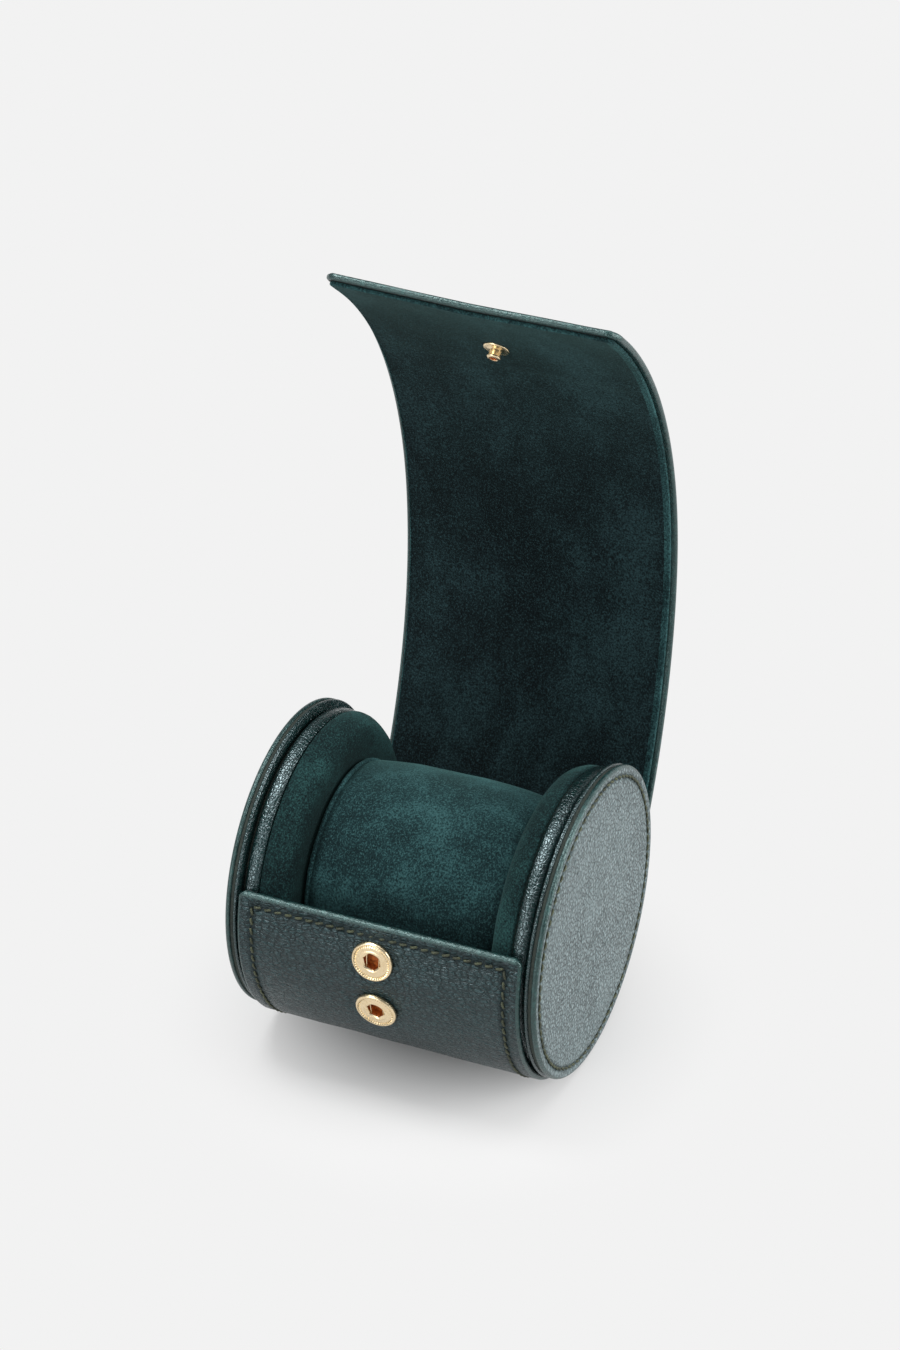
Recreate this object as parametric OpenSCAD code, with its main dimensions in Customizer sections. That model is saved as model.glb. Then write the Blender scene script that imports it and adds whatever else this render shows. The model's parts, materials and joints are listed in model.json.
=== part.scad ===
// Leather watch roll, standing open.
// A leather wrap goes round two round end drums, from a low front lip, under
// the roll and up its back, where it runs on as a tall flap. Between the drums
// lies a round watch cushion. Two snap sockets on the front panel take the stud
// of the flap when it is rolled over the drums and closed.
//
// X runs along the roll, -Y is the front, +Z is up. The origin is the centre of
// the pressed flat under the roll. Angles round the roll are measured about its
// axis, from the back (+Y) over the top (+Z) to the front (-Y).

/* [End discs] */
// Radius of the leather disc at each end
disc_r = 40; // [36:0.5:44]
// Thickness of the outer leather of a disc
disc_face_t = 1.4; // [1:0.1:2]
// Thickness of the board inside a disc
disc_board_t = 0.8; // [0.5:0.1:1.5]
// Thickness of the inner leather of a disc
disc_backing_t = 1.0; // [0.6:0.1:1.6]
// How far the board stays back from the edge of its disc
disc_board_inset = 0.5; // [0.2:0.1:1.5]
// Distance from the edge of a disc to its row of stitches
disc_stitch_inset = 2.8; // [2:0.1:6]

/* [End drums] */
// Width of the watch bay between the two drums
bay_w = 53.2; // [46:0.2:64]
// Width of the suede shoulder of a drum
shoulder_w = 6.9; // [6:0.1:10]
// Radius of the rounded edge of a suede shoulder
shoulder_round = 5; // [3:0.25:5.5]
// Thickness of the suede over a drum
shoulder_t = 1.0; // [0.6:0.1:1.5]
// Width of the leather band round a drum
band_w = 4.0; // [3:0.1:6]
// Thickness of the leather band
band_t = 1.2; // [0.8:0.1:1.8]
// Width of the open groove between a band and its disc
groove_w = 0.8; // [0.5:0.1:1.5]
// Depth of that groove below the band
groove_depth = 2.0; // [1.4:0.1:3]
// Thickness of the board that closes a drum under its band
drum_board_t = 1.6; // [1:0.1:2.4]

/* [Wrap] */
// How far the wrap stands out beyond the end discs
wrap_proud = 1.1; // [0.8:0.1:1.2]
// Thickness of the wrap leather
leather_t = 1.6; // [1.4:0.1:2]
// Thickness of the stiffening board under the leather
stiffener_t = 0.5; // [0.4:0.1:0.8]
// Thickness of the suede lining
lining_t = 0.6; // [0.4:0.1:0.9]
// Distance that the lining stays back from the leather edge
lining_inset = 2.0; // [1:0.1:3]
// Distance that the stiffening board stays back from the lining edge
stiffener_inset = 1.0; // [0.5:0.1:2]
// Angle of the front lip above the front of the roll
lip_angle = 20; // [10:1:30]
// Angle below the back of the roll at which the flap leaves it
leave_angle = 41; // [38:1:44]
// Distance from the lip to its row of stitches
lip_stitch_inset = 3.5; // [2.5:0.1:6]
// Distance from the side edges of the wrap to their stitches
side_stitch_inset = 4.0; // [3:0.1:6]
// Angle past the front of the roll at which the side stitches end, under it
side_stitch_end = 70; // [40:1:74]

/* [Flap] */
// Length of the flap from the roll to its tip
flap_len = 200; // [194:0.5:206]
// Bend of the open flap over its lower part, in degrees for each mm
open_bend = 0.41; // [0.3:0.01:0.45]
// Distance along the flap at which its tip begins to curl
curl_from = 100; // [80:1:130]
// Bend of the open flap beyond that, in degrees for each mm
tip_bend = 0.57; // [0.45:0.01:0.7]
// Space between the closed flap's stud flange and the socket under it
closed_gap = 0.4; // [0.2:0.05:0.8]

/* [Snap fasteners] */
// Outer diameter of a socket
socket_d = 10.4; // [9:0.1:12]
// Height of a socket ring above its seat in the leather
socket_h = 1.2; // [0.9:0.1:1.4]
// Width of the sloping edges of a socket ring
socket_chamfer = 0.5; // [0.3:0.05:0.6]
// Diameter of the hole in a socket
socket_hole_d = 4.6; // [4.2:0.1:5]
// Wall of the cup below the ring
cup_wall = 0.7; // [0.5:0.1:1]
// Thickness of the bottom of the cup
cup_floor = 0.3; // [0.2:0.05:0.4]
// Distance between the two sockets, measured on the leather
socket_pitch = 16; // [13:0.5:20]
// Outer diameter of the washer behind the leather
washer_d = 8.0; // [7:0.1:8.4]
// Thickness of that washer
washer_t = 0.20; // [0.1:0.01:0.22]
// Thickness of the retaining wire in a socket
wire_d = 0.22; // [0.16:0.02:0.3]
// Diameter of the flange of the stud
flange_d = 8.0; // [7:0.1:9]
// Thickness of the flange of the stud
flange_t = 0.4; // [0.3:0.05:0.5]
// Diameter of the head of the stud
stud_d = 3.5; // [3.2:0.1:3.7]
// Diameter of the neck of the stud
stud_neck_d = 2.9; // [2.5:0.1:3.1]
// Height of the head of the stud
stud_head_h = 1.3; // [1:0.1:1.6]
// Width of the sloping edge on the tip of the stud
stud_chamfer = 0.5; // [0.3:0.1:0.7]
// Diameter of the post that joins the stud to its cap
post_d = 2.4; // [2:0.1:3]
// Diameter of the cap on the outside of the flap
cap_d = 11; // [9:0.1:13]
// Height of the cap on the outside of the flap
cap_h = 1.8; // [1.2:0.1:2.4]
// Height of the straight edge of the cap
cap_edge_h = 0.6; // [0.4:0.1:0.9]
// How far the top of the cap's dome is flattened
cap_flat = 0.05; // [0.03:0.01:0.1]

/* [Cushion] */
// Radius of the cushion at its crown
cushion_r = 29; // [26:0.5:31]
// How much smaller the cushion is at its end seams
cushion_drop = 2.0; // [1.2:0.1:4]
// Radius of the puffed edge next to an end seam
cushion_round = 1.2; // [0.8:0.1:3]
// How far the end panels are drawn in at their middle
cushion_dish = 1.2; // [0.5:0.1:2]
// Thickness of the suede cover of the cushion
cover_t = 1.0; // [0.6:0.1:1.5]
// Distance from the edge of an end panel to its drawn-in middle
dish_inset = 4; // [2:0.5:8]

/* [Fits] */
// Space between soft pieces that move past each other
soft_gap = 0.3; // [0.3:0.05:0.5]
// Space left for glue between fixed layers
glue_gap = 0.1; // [0.05:0.01:0.2]
// Space round the stud head inside its cup
stud_gap = 0.15; // [0.1:0.01:0.3]
// Space round a socket in the place pressed for it
seat_clear = 0.15; // [0.05:0.01:0.3]
// Thickness of the sewing thread
thread_d = 0.6; // [0.4:0.05:0.8]

/* [Hidden] */

$fn = 96;
cut = 1;

leather_colour = "#34423f";
disc_colour = "#4d5957";
suede_colour = "#2f5154";
board_colour = "#8b7355";
foam_colour = "#d8d3c4";
thread_colour = "#26301f";
gold_colour = "#d9bf8a";

// places along X, from the middle of the roll to its end
face_x = bay_w / 2;
band_x = face_x + shoulder_w;
wrap_x = band_x + band_w;
backing_x = wrap_x + groove_w;
board_x = backing_x + disc_backing_t;
front_x = board_x + disc_board_t;
end_x = front_x + disc_face_t;

// radii about the axis of the roll
wrap_r = disc_r + wrap_proud;
under_leather_r = wrap_r - leather_t;
under_stiffener_r = under_leather_r - stiffener_t;
inside_r = under_stiffener_r - lining_t;
drum_r = inside_r - glue_gap;
axis_h = disc_r;
sheet_t = wrap_r - inside_r;
backing_t = sheet_t - leather_t;

lip_a = 180 - lip_angle;
leave_a = -leave_angle;
stiffener_lip_a = lip_a + 2 * lining_inset / inside_r * 180 / PI;
lining_lip_a = lip_a + lining_inset / inside_r * 180 / PI / 2;
stitch_a = lip_a + lip_stitch_inset / wrap_r * 180 / PI;
stitch_x = wrap_x - side_stitch_inset;
stitch_end_a = 180 + side_stitch_end;

// The flap is a row of strips, each hinged on the inner face of the one before.
// Half a strip more, next to the roll, belongs to the wrap.
strip_count = 11;
stud_strip = 10;
snap_strip = 9;
strip_len = flap_len / (strip_count + 0.5);
strip_gap = soft_gap;

// Open flap: how far it leans forward at a distance s from the roll
function lean_at(s) = leave_a + open_bend * min(s, curl_from) + tip_bend * max(0, s - curl_from);
function strip_lean(i) = i == 0 ? leave_a : lean_at(i * strip_len);
// Unit steps in the plane across the roll, as [y, z]
function along(lean) = [-sin(lean), cos(lean)];
function outward(a) = [cos(a), sin(a)];
// Open flap: the hinge line at the start of strip i
function hinge(i) = i == 1
    ? inside_r * outward(leave_a) + strip_len / 2 * along(leave_a)
    : hinge(i - 1) + strip_len * along(strip_lean(i - 1));

// Seat of a socket: the leather is pressed flat under it
seat_r = sqrt(pow(wrap_r, 2) - pow(socket_d / 2 + seat_clear, 2));
cup_r = socket_hole_d / 2 + cup_wall;
cup_bottom_r = under_stiffener_r + glue_gap / 2;

// Closed flap: it leaves the drums on a wider circle, and from the front lip on
// it keeps to one about the axis that clears the sockets
front_r = seat_r + socket_h + flange_t + closed_gap;
closed_ease = (front_r - inside_r) / 2;
closed_r = inside_r + closed_ease;
closed_step = 2 * atan(strip_len / 2 / closed_r);
front_step = 2 * atan(strip_len / 2 / front_r);
snap_hinge = -closed_ease * outward(leave_a)
    + closed_r / cos(closed_step / 2) * outward(leave_a + (snap_strip - 0.5) * closed_step);
// The snap hinge turns until the stud points straight at the axis
snap_arm = strip_len * (cos(front_step) + 1 / 2);
snap_hinge_r = norm(snap_hinge);
snap_hinge_a = (atan2(snap_hinge[1], snap_hinge[0]) + 360) % 360;
lower_socket_a = snap_hinge_a + asin(snap_arm / snap_hinge_r);
upper_socket_a = lower_socket_a - socket_pitch / wrap_r * 180 / PI;
stud_face_r = sqrt(pow(snap_hinge_r, 2) - pow(snap_arm, 2)) + strip_len * sin(front_step);
stud_tip_r = cup_bottom_r + cup_floor + stud_gap;
stud_h = stud_face_r - stud_tip_r;

// Turning angle of each flap hinge from open to closed
function open_step(i) = strip_lean(i) - strip_lean(i - 1);
snap_step = lower_socket_a - front_step - (leave_a + (snap_strip - 1) * closed_step);
function closed_turn(i) = i < snap_strip ? closed_step : (i == snap_strip ? snap_step : front_step);
function hinge_travel(i) = closed_turn(i) - open_step(i);
// Where the hinges and sockets come out, for anyone who changes a size
echo(travel = [for (i = [1:strip_count]) hinge_travel(i)]);
echo(hinges = [for (i = [1:strip_count]) [0, hinge(i)[0], hinge(i)[1] + axis_h]]);
echo(sockets = [upper_socket_a, lower_socket_a], stud_face_r = stud_face_r, stud_h = stud_h);

// Cushion: two round halves of the same barrel, one above the other
cushion_x = face_x - soft_gap - glue_gap;
cushion_fall = inside_r - soft_gap - cushion_r;
// Radius of the long arc that forms the crown
crown_r = (pow(cushion_x, 2) + pow(cushion_drop, 2)) / (2 * cushion_drop);
end_panel_r = cushion_r - cushion_drop - cushion_round;
end_panel_t = cover_t + cushion_dish;

// Turns a shape drawn about Z so that it stands about the axis of the roll
module about_roll() {
    translate([0, 0, axis_h]) rotate([0, 90, 0]) rotate([0, 0, 90]) children();
}

// Part of a ring round the roll, from angle a1 to a2
module ring_part(r_in, r_out, half_w, a1, a2) {
    about_roll() rotate([0, 0, a1]) rotate_extrude(angle = a2 - a1)
        translate([r_in, -half_w]) square([r_out - r_in, 2 * half_w]);
}

// Whole ring round the roll between two places along X
module ring(r_in, r_out, x1, x2) {
    about_roll() translate([0, 0, x1]) difference() {
        cylinder(r = r_out, h = x2 - x1);
        if (r_in > 0) translate([0, 0, -cut]) cylinder(r = r_in, h = x2 - x1 + 2 * cut);
    }
}

module disc(r, x1, x2) {
    about_roll() translate([0, 0, x1]) cylinder(r = r, h = x2 - x1);
}

// Places a shape on the roll at angle a, with its own Z pointing out of the leather
module on_roll(a, r) {
    translate([0, 0, axis_h]) rotate([a - 90, 0, 0]) translate([0, 0, r]) children();
}

// Places a shape in a strip: Y out through the leather, Z along the flap
module on_strip(i) {
    p = hinge(i);
    translate([0, p[0], p[1] + axis_h]) rotate([strip_lean(i), 0, 0]) children();
}

module side(s) {
    if (s > 0) children();
    else mirror([1, 0, 0]) children();
}

// Everything under the roll is pressed level with the discs
module above_flat() {
    difference() {
        children();
        translate([-2 * end_x, -2 * disc_r, -2 * disc_r]) cube([4 * end_x, 4 * disc_r, 2 * disc_r]);
    }
}

// One layer of the wrap, from its lip to the first hinge of the flap. The base
// of the flap is straight. It is joined to the ring by a tongue, and it begins
// a small step past the end of the ring.
module wrap_layer(r_in, r_out, half_w, a1) {
    t = r_out - r_in;
    base = (strip_len - strip_gap) / 2;
    step = 3 * glue_gap;
    ring_part(r_in, r_out, half_w, a1, 360 + leave_a);
    about_roll() translate([0, 0, -half_w]) linear_extrude(2 * half_w) rotate(leave_a)
        polygon([[r_in + t / 3, -2 * t], [r_out - t / 3, -2 * t],
            [r_out, step], [r_out, base], [r_in, base], [r_in, step]]);
}

module socket_holes(r_hole, r_from) {
    for (a = [upper_socket_a, lower_socket_a])
        on_roll(a, r_from) cylinder(r = r_hole, h = wrap_r + cut - r_from);
}

// Grooves that the thread lies in, on the front panel
groove_deep = thread_d / 2 + glue_gap / 2;
module thread_grooves() {
    w = thread_d + glue_gap;
    end_room = w / wrap_r * 180 / PI;
    for (s = [-1, 1]) translate([s * stitch_x, 0, 0])
        ring_part(wrap_r - groove_deep, wrap_r + cut, w / 2, stitch_a - end_room, stitch_end_a + end_room);
    on_roll(stitch_a, wrap_r - groove_deep)
        translate([-stitch_x - w / 2, -w / 2, 0]) cube([2 * stitch_x + w, w, cut + groove_deep]);
}

module wrap_leather() {
    color(leather_colour) above_flat() difference() {
        wrap_layer(under_leather_r, wrap_r, wrap_x, lip_a);
        socket_holes(socket_d / 2 + seat_clear, seat_r);
        socket_holes(cup_r + glue_gap, inside_r - cut);
        thread_grooves();
    }
}

module wrap_stiffener() {
    color(board_colour) difference() {
        wrap_layer(under_stiffener_r, under_leather_r, wrap_x - lining_inset - stiffener_inset,
            stiffener_lip_a);
        socket_holes(washer_d / 2 + glue_gap, inside_r - cut);
    }
}

module wrap_lining() {
    color(suede_colour) wrap_layer(inside_r, under_stiffener_r, wrap_x - lining_inset, lining_lip_a);
}

module front_panel_thread() {
    color(thread_colour) {
        for (s = [-1, 1]) translate([s * stitch_x, 0, 0])
            ring_part(wrap_r - thread_d / 2, wrap_r + thread_d / 2, thread_d / 2, stitch_a, stitch_end_a);
        on_roll(stitch_a, wrap_r) translate([-stitch_x, -thread_d / 2, -thread_d / 2])
            cube([2 * stitch_x, thread_d, thread_d]);
    }
}

stitch_r = disc_r - disc_stitch_inset;
module disc_face() {
    color(disc_colour) difference() {
        disc(disc_r, front_x, end_x);
        ring(stitch_r - thread_d / 2 - glue_gap / 2, stitch_r + thread_d / 2 + glue_gap / 2,
            end_x - groove_deep, end_x + cut);
    }
}

module disc_board() {
    color(board_colour) disc(disc_r - disc_board_inset, board_x, front_x);
}

module disc_backing() {
    color(leather_colour) disc(disc_r, backing_x, board_x);
}

module disc_thread() {
    color(thread_colour) about_roll() translate([0, 0, end_x])
        rotate_extrude() translate([stitch_r, 0]) circle(d = thread_d, $fn = 24);
}

core_r = drum_r - band_t;
module disc_spacer() {
    color(board_colour) disc(drum_r - groove_depth, wrap_x, backing_x);
}

module drum_board() {
    color(board_colour) disc(core_r, wrap_x - drum_board_t, wrap_x);
}

// Half section of a drum, as [radius, place along X], with its rounded edge
module shoulder_outline(r, x, round) {
    translate([0, x]) difference() {
        square([r, band_x - x]);
        translate([r - round, 0]) difference() {
            translate([0, -cut]) square([round + cut, round + cut]);
            translate([0, round]) circle(r = round);
        }
    }
}

module suede_inside() {
    shoulder_outline(drum_r - shoulder_t, face_x + shoulder_t, shoulder_round - shoulder_t);
}

module drum_suede() {
    color(suede_colour) about_roll() rotate_extrude() difference() {
        shoulder_outline(drum_r, face_x, shoulder_round);
        suede_inside();
    }
}

module drum_core() {
    color(board_colour) about_roll() rotate_extrude() {
        suede_inside();
        // begins inside the suede's hollow, so the two stay one solid at any size
        translate([0, band_x - shoulder_t]) square([core_r, shoulder_t + band_w - drum_board_t]);
    }
}

module drum_band() {
    color(leather_colour) ring(core_r, drum_r, band_x, wrap_x);
}

// Ring and cup in one piece, with its seat at Z = 0
module socket() {
    c = socket_chamfer;
    difference() {
        union() {
            rotate_extrude() polygon([[0, 0], [socket_d / 2, 0], [socket_d / 2, socket_h - c],
                [socket_d / 2 - c, socket_h], [socket_hole_d / 2 + c, socket_h],
                [socket_hole_d / 2, socket_h - c / 2], [0, socket_h - c / 2]]);
            translate([0, 0, cup_bottom_r - seat_r])
                cylinder(r = cup_r, h = seat_r - cup_bottom_r + socket_h / 2);
        }
        translate([0, 0, cup_bottom_r + cup_floor - seat_r])
            cylinder(d = socket_hole_d, h = seat_r - cup_bottom_r + socket_h + cut);
    }
}

module snap_sockets() {
    color(gold_colour) for (a = [upper_socket_a, lower_socket_a]) on_roll(a, seat_r) socket();
}

module snap_washers() {
    color(gold_colour) for (a = [upper_socket_a, lower_socket_a]) on_roll(a, cup_bottom_r)
        difference() {
            cylinder(d = washer_d, h = washer_t);
            translate([0, 0, -cut]) cylinder(r = cup_r + glue_gap / 2, h = washer_t + 2 * cut);
        }
}

module snap_wires() {
    color(gold_colour) for (a = [upper_socket_a, lower_socket_a]) on_roll(a, seat_r + socket_h / 3)
        rotate_extrude() translate([(socket_hole_d - wire_d - glue_gap / 2) / 2, 0])
            circle(d = wire_d, $fn = 16);
}

// Stud and flange on the inner face of the flap, and the post through it
module snap_stud() {
    neck_r = stud_neck_d / 2;
    head_r = stud_d / 2;
    color(gold_colour) on_strip(stud_strip) translate([0, 0, strip_len / 2]) rotate([90, 0, 0]) {
        cylinder(d = flange_d, h = flange_t);
        cylinder(r = neck_r, h = stud_h - stud_head_h);
        translate([0, 0, stud_h - stud_head_h]) rotate_extrude() polygon([[0, 0], [neck_r, 0],
            [head_r, head_r - neck_r], [head_r, stud_head_h - stud_chamfer],
            [head_r - stud_chamfer, stud_head_h], [0, stud_head_h]]);
        translate([0, 0, -sheet_t]) cylinder(d = post_d, h = sheet_t + flange_t / 2);
    }
}

module snap_cap() {
    rise = cap_h + cap_flat - cap_edge_h;
    dome_r = (pow(cap_d / 2, 2) + pow(rise, 2)) / (2 * rise);
    color(gold_colour) on_strip(stud_strip) translate([0, sheet_t, strip_len / 2]) rotate([-90, 0, 0])
        rotate_extrude() intersection() {
            square([cap_d / 2, cap_h]);
            translate([0, cap_h + cap_flat - dome_r]) circle(r = dome_r, $fn = 128);
        }
}

module post_hole() {
    translate([0, sheet_t + cut, strip_len / 2]) rotate([90, 0, 0])
        cylinder(d = post_d + glue_gap, h = sheet_t + 2 * cut);
}

module strip_slab(half_w, from, to, length) {
    translate([-half_w, from, strip_gap / 2]) cube([2 * half_w, to - from, length - strip_gap / 2]);
}

module flap_leather(i) {
    color(leather_colour) on_strip(i) difference() {
        strip_slab(wrap_x, backing_t, sheet_t, strip_len - (i == strip_count ? 0 : strip_gap / 2));
        if (i == stud_strip) post_hole();
    }
}

module flap_lining(i) {
    color(suede_colour) on_strip(i) difference() {
        strip_slab(wrap_x - lining_inset, 0, backing_t,
            strip_len - (i == strip_count ? lining_inset : strip_gap / 2));
        if (i == stud_strip) post_hole();
    }
}

// Outlines of the cushion are drawn as [radius, place along X]. They are turned
// into the round top and bottom, and stretched between the two.
module cushion_form() {
    translate([0, 0, axis_h]) {
        rotate([0, 90, 0]) rotate_extrude() children();
        translate([0, 0, -cushion_fall]) rotate([0, 90, 0]) rotate_extrude() children();
        translate([0, 0, -cushion_fall]) linear_extrude(cushion_fall) for (back = [0, 1])
            mirror([0, back, 0]) mirror([1, -1, 0]) children();
    }
}

module crown_outline(r, half_w) {
    intersection() {
        translate([0, -half_w]) square([r, 2 * half_w]);
        translate([r - crown_r, 0]) circle(r = crown_r, $fn = 256);
    }
}

module cover_outline() {
    intersection() {
        crown_outline(cushion_r, cushion_x);
        union() {
            translate([0, -cushion_x]) square([end_panel_r, 2 * cushion_x]);
            translate([0, cushion_round - cushion_x]) square([cushion_r, 2 * (cushion_x - cushion_round)]);
            for (s = [-1, 1])
                translate([end_panel_r, s * (cushion_x - cushion_round)]) circle(r = cushion_round);
        }
    }
}

module foam_outline() {
    crown_outline(cushion_r - cover_t, cushion_x - end_panel_t);
}

module end_outline() {
    translate([0, cushion_x - end_panel_t]) square([end_panel_r, end_panel_t]);
}

module cushion_foam() {
    color(foam_colour) cushion_form() foam_outline();
}

module cushion_cover() {
    color(suede_colour) difference() {
        cushion_form() cover_outline();
        cushion_form() foam_outline();
        for (s = [-1, 1]) side(s) end_space();
    }
}

// Space of the right end panel, open to the outside
module end_space() {
    cushion_form() translate([0, cushion_x - end_panel_t]) square([end_panel_r, end_panel_t + cut]);
}

module cushion_end() {
    dish_r = end_panel_r - dish_inset;
    ball_r = (pow(dish_r, 2) + pow(cushion_dish, 2)) / (2 * cushion_dish);
    color(suede_colour) difference() {
        cushion_form() end_outline();
        translate([cushion_x + ball_r - cushion_dish, 0, axis_h]) {
            sphere(r = ball_r, $fn = 256);
            translate([0, 0, -cushion_fall]) sphere(r = ball_r, $fn = 256);
            translate([0, 0, -cushion_fall]) cylinder(r = ball_r, h = cushion_fall, $fn = 256);
        }
    }
}

wrap_leather();
wrap_stiffener();
wrap_lining();
front_panel_thread();
side(-1) disc_face();  // left_disc_face
side(-1) disc_board();  // left_disc_board
side(-1) disc_backing();  // left_disc_backing
side(-1) disc_thread();  // left_disc_thread
side(1) disc_face();  // right_disc_face
side(1) disc_board();  // right_disc_board
side(1) disc_backing();  // right_disc_backing
side(1) disc_thread();  // right_disc_thread
side(-1) disc_spacer();  // left_disc_spacer
side(-1) drum_board();  // left_drum_board
side(-1) drum_core();  // left_drum_core
side(-1) drum_band();  // left_drum_band
side(-1) drum_suede();  // left_drum_suede
side(1) disc_spacer();  // right_disc_spacer
side(1) drum_board();  // right_drum_board
side(1) drum_core();  // right_drum_core
side(1) drum_band();  // right_drum_band
side(1) drum_suede();  // right_drum_suede
snap_sockets();
snap_washers();
snap_wires();
snap_stud();
snap_cap();
cushion_cover();
side(-1) cushion_end();  // cushion_left_end
side(1) cushion_end();  // cushion_right_end
cushion_foam();
for (i = [1:strip_count]) {
    flap_leather(i);
    flap_lining(i);
}
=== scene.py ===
import json
import math
import random

import bpy
import bmesh
import numpy as np
from mathutils import Matrix, Vector, noise


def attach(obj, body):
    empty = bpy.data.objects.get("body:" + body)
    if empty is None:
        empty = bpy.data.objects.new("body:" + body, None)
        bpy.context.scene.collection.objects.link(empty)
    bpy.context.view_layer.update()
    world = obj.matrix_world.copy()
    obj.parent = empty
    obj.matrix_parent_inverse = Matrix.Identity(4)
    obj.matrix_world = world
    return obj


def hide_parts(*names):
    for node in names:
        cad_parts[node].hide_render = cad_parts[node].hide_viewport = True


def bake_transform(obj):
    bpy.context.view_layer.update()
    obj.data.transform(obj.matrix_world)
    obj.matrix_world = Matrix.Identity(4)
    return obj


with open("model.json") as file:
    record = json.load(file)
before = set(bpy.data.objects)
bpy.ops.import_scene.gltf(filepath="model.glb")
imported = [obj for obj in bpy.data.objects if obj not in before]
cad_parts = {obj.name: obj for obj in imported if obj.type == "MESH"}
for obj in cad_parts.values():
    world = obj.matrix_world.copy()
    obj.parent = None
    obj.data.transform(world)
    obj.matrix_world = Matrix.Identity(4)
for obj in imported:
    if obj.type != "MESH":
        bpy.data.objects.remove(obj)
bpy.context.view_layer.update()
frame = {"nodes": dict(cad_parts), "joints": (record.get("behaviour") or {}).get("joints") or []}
print("frame loaded")

# Everything below is drawn in mm about the axis of the roll: x along it, y back, z up
mm = 0.001
axisHeight = 40.0
random.seed(7)


def inFrame(p):
    return (p[0] * mm, p[1] * mm, (p[2] + axisHeight) * mm)


# Shader words: sums on sockets, and one method that makes any node
class Wire:
    def __init__(self, paint, socket):
        self.paint = paint
        self.socket = socket

    def op(self, kind, a, b):
        return self.paint.node("ShaderNodeMath", {"operation": kind}, {0: a, 1: b})

    def __add__(self, other):
        return self.op("ADD", self, other)

    def __radd__(self, other):
        return self.op("ADD", other, self)

    def __sub__(self, other):
        return self.op("SUBTRACT", self, other)

    def __rsub__(self, other):
        return self.op("SUBTRACT", other, self)

    def __mul__(self, other):
        return self.op("MULTIPLY", self, other)

    def __rmul__(self, other):
        return self.op("MULTIPLY", other, self)


class Paint:
    def __init__(self, name="", tree=None):
        if tree is None:
            self.material = bpy.data.materials.new(name)
            self.material.use_nodes = True
            tree = self.material.node_tree
            self.shader = tree.nodes["Principled BSDF"]
        self.tree = tree

    def node(self, kind, settings=None, sockets=None, out=0):
        made = self.tree.nodes.new(kind)
        for key, value in (settings or {}).items():
            if key == "stops":
                ramp = made.color_ramp
                while len(ramp.elements) < len(value):
                    ramp.elements.new(0.5)
                for element, (place, level) in zip(ramp.elements, value):
                    element.position = place
                    element.color = (level, level, level, 1)
            else:
                setattr(made, key, value)
        for key, value in (sockets or {}).items():
            if isinstance(value, Wire):
                self.tree.links.new(value.socket, made.inputs[key])
            else:
                made.inputs[key].default_value = value
        return Wire(self, made.outputs[out])

    def place(self):
        # where a point of the piece was when the roll stood open, in mm
        return self.node("ShaderNodeAttribute", {"attribute_name": "restPlace"}, out="Vector")

    def channelDepthAndShade(self):
        # how deep a point lies in a stitch channel or seam, from 0 to 1, which the finishes darken by as
        # painted shade; on the drum suede it holds the painted shade towards the cushion
        return self.node("ShaderNodeAttribute", {"attribute_name": "channel"}, out="Fac")

    def stretched(self, at, scale):
        return self.node("ShaderNodeVectorMath", {"operation": "MULTIPLY"}, {0: at, 1: scale})

    def moved(self, at, by, amount):
        centred = self.node("ShaderNodeVectorMath", {"operation": "SUBTRACT"}, {0: by, 1: (0.5, 0.5, 0.5)})
        scaled = self.node("ShaderNodeVectorMath", {"operation": "SCALE"}, {0: centred, "Scale": amount})
        return self.node("ShaderNodeVectorMath", {"operation": "ADD"}, {0: at, 1: scaled})

    def cloud(self, at, scale, detail=2.0, rough=0.5, out="Fac"):
        return self.node("ShaderNodeTexNoise", {},
                         {"Vector": at, "Scale": scale, "Detail": detail, "Roughness": rough}, out)

    def ramp(self, value, *stops):
        return self.node("ShaderNodeValToRGB", {"stops": stops}, {0: value})

    def blendColours(self, factor, a, b):
        return self.node("ShaderNodeMix", {"data_type": "RGBA"}, {0: factor, 6: a, 7: b}, 2)

    def bump(self, height, distance):
        return self.node("ShaderNodeBump", {}, {"Height": height, "Distance": distance})

    def show(self, result, output):
        self.tree.links.new(result.socket, self.tree.nodes[output].inputs["Surface"])

    def give(self, **values):
        for key, value in values.items():
            socket = self.shader.inputs[key.replace("_", " ")]
            if isinstance(value, Wire):
                self.tree.links.new(value.socket, socket)
            else:
                socket.default_value = value
        return self.material


def colour(r, g, b):
    # sRGB from 0 to 255, as read on a screen, to the linear values that Blender uses
    def linear(v):
        v /= 255
        return v / 12.92 if v <= 0.04045 else ((v + 0.055) / 1.055) ** 2.4
    return (linear(r), linear(g), linear(b), 1)


# The finishes, each with its own look, and copies of some painted lighter or darker for light and shade
leatherLook = {
    "body": colour(14, 42, 44),
    # the crease colour is painted shade in the pebble creases, fold lines, ripple valleys and stitch channels
    "crease": colour(2, 9, 10),
    "worn": colour(26, 52, 54),
    # top is the colour of the pebble tops: part polish, part painted highlight
    "top": colour(38, 68, 70),
    "cell": 0.95,  # pebbles for each mm
    "grain": (0.55, 1.05, 1.05),  # pebbles are longer along the roll
    "folds": 0.22,  # how deep the larger wrinkles are
    "ripple": 1.9,  # and the finer ones along the sheet
    "channel": 1.1,  # and the channels of the stitches
    "depth": 0.00038,  # metres for a height of 1
    "roughness": 0.25,
    "polishAndHighlight": 0.12,
    "gloss": 0.5,
    "gleam": (0.76, 0.94, 0.98, 1),  # colour of the reflections
}


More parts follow.
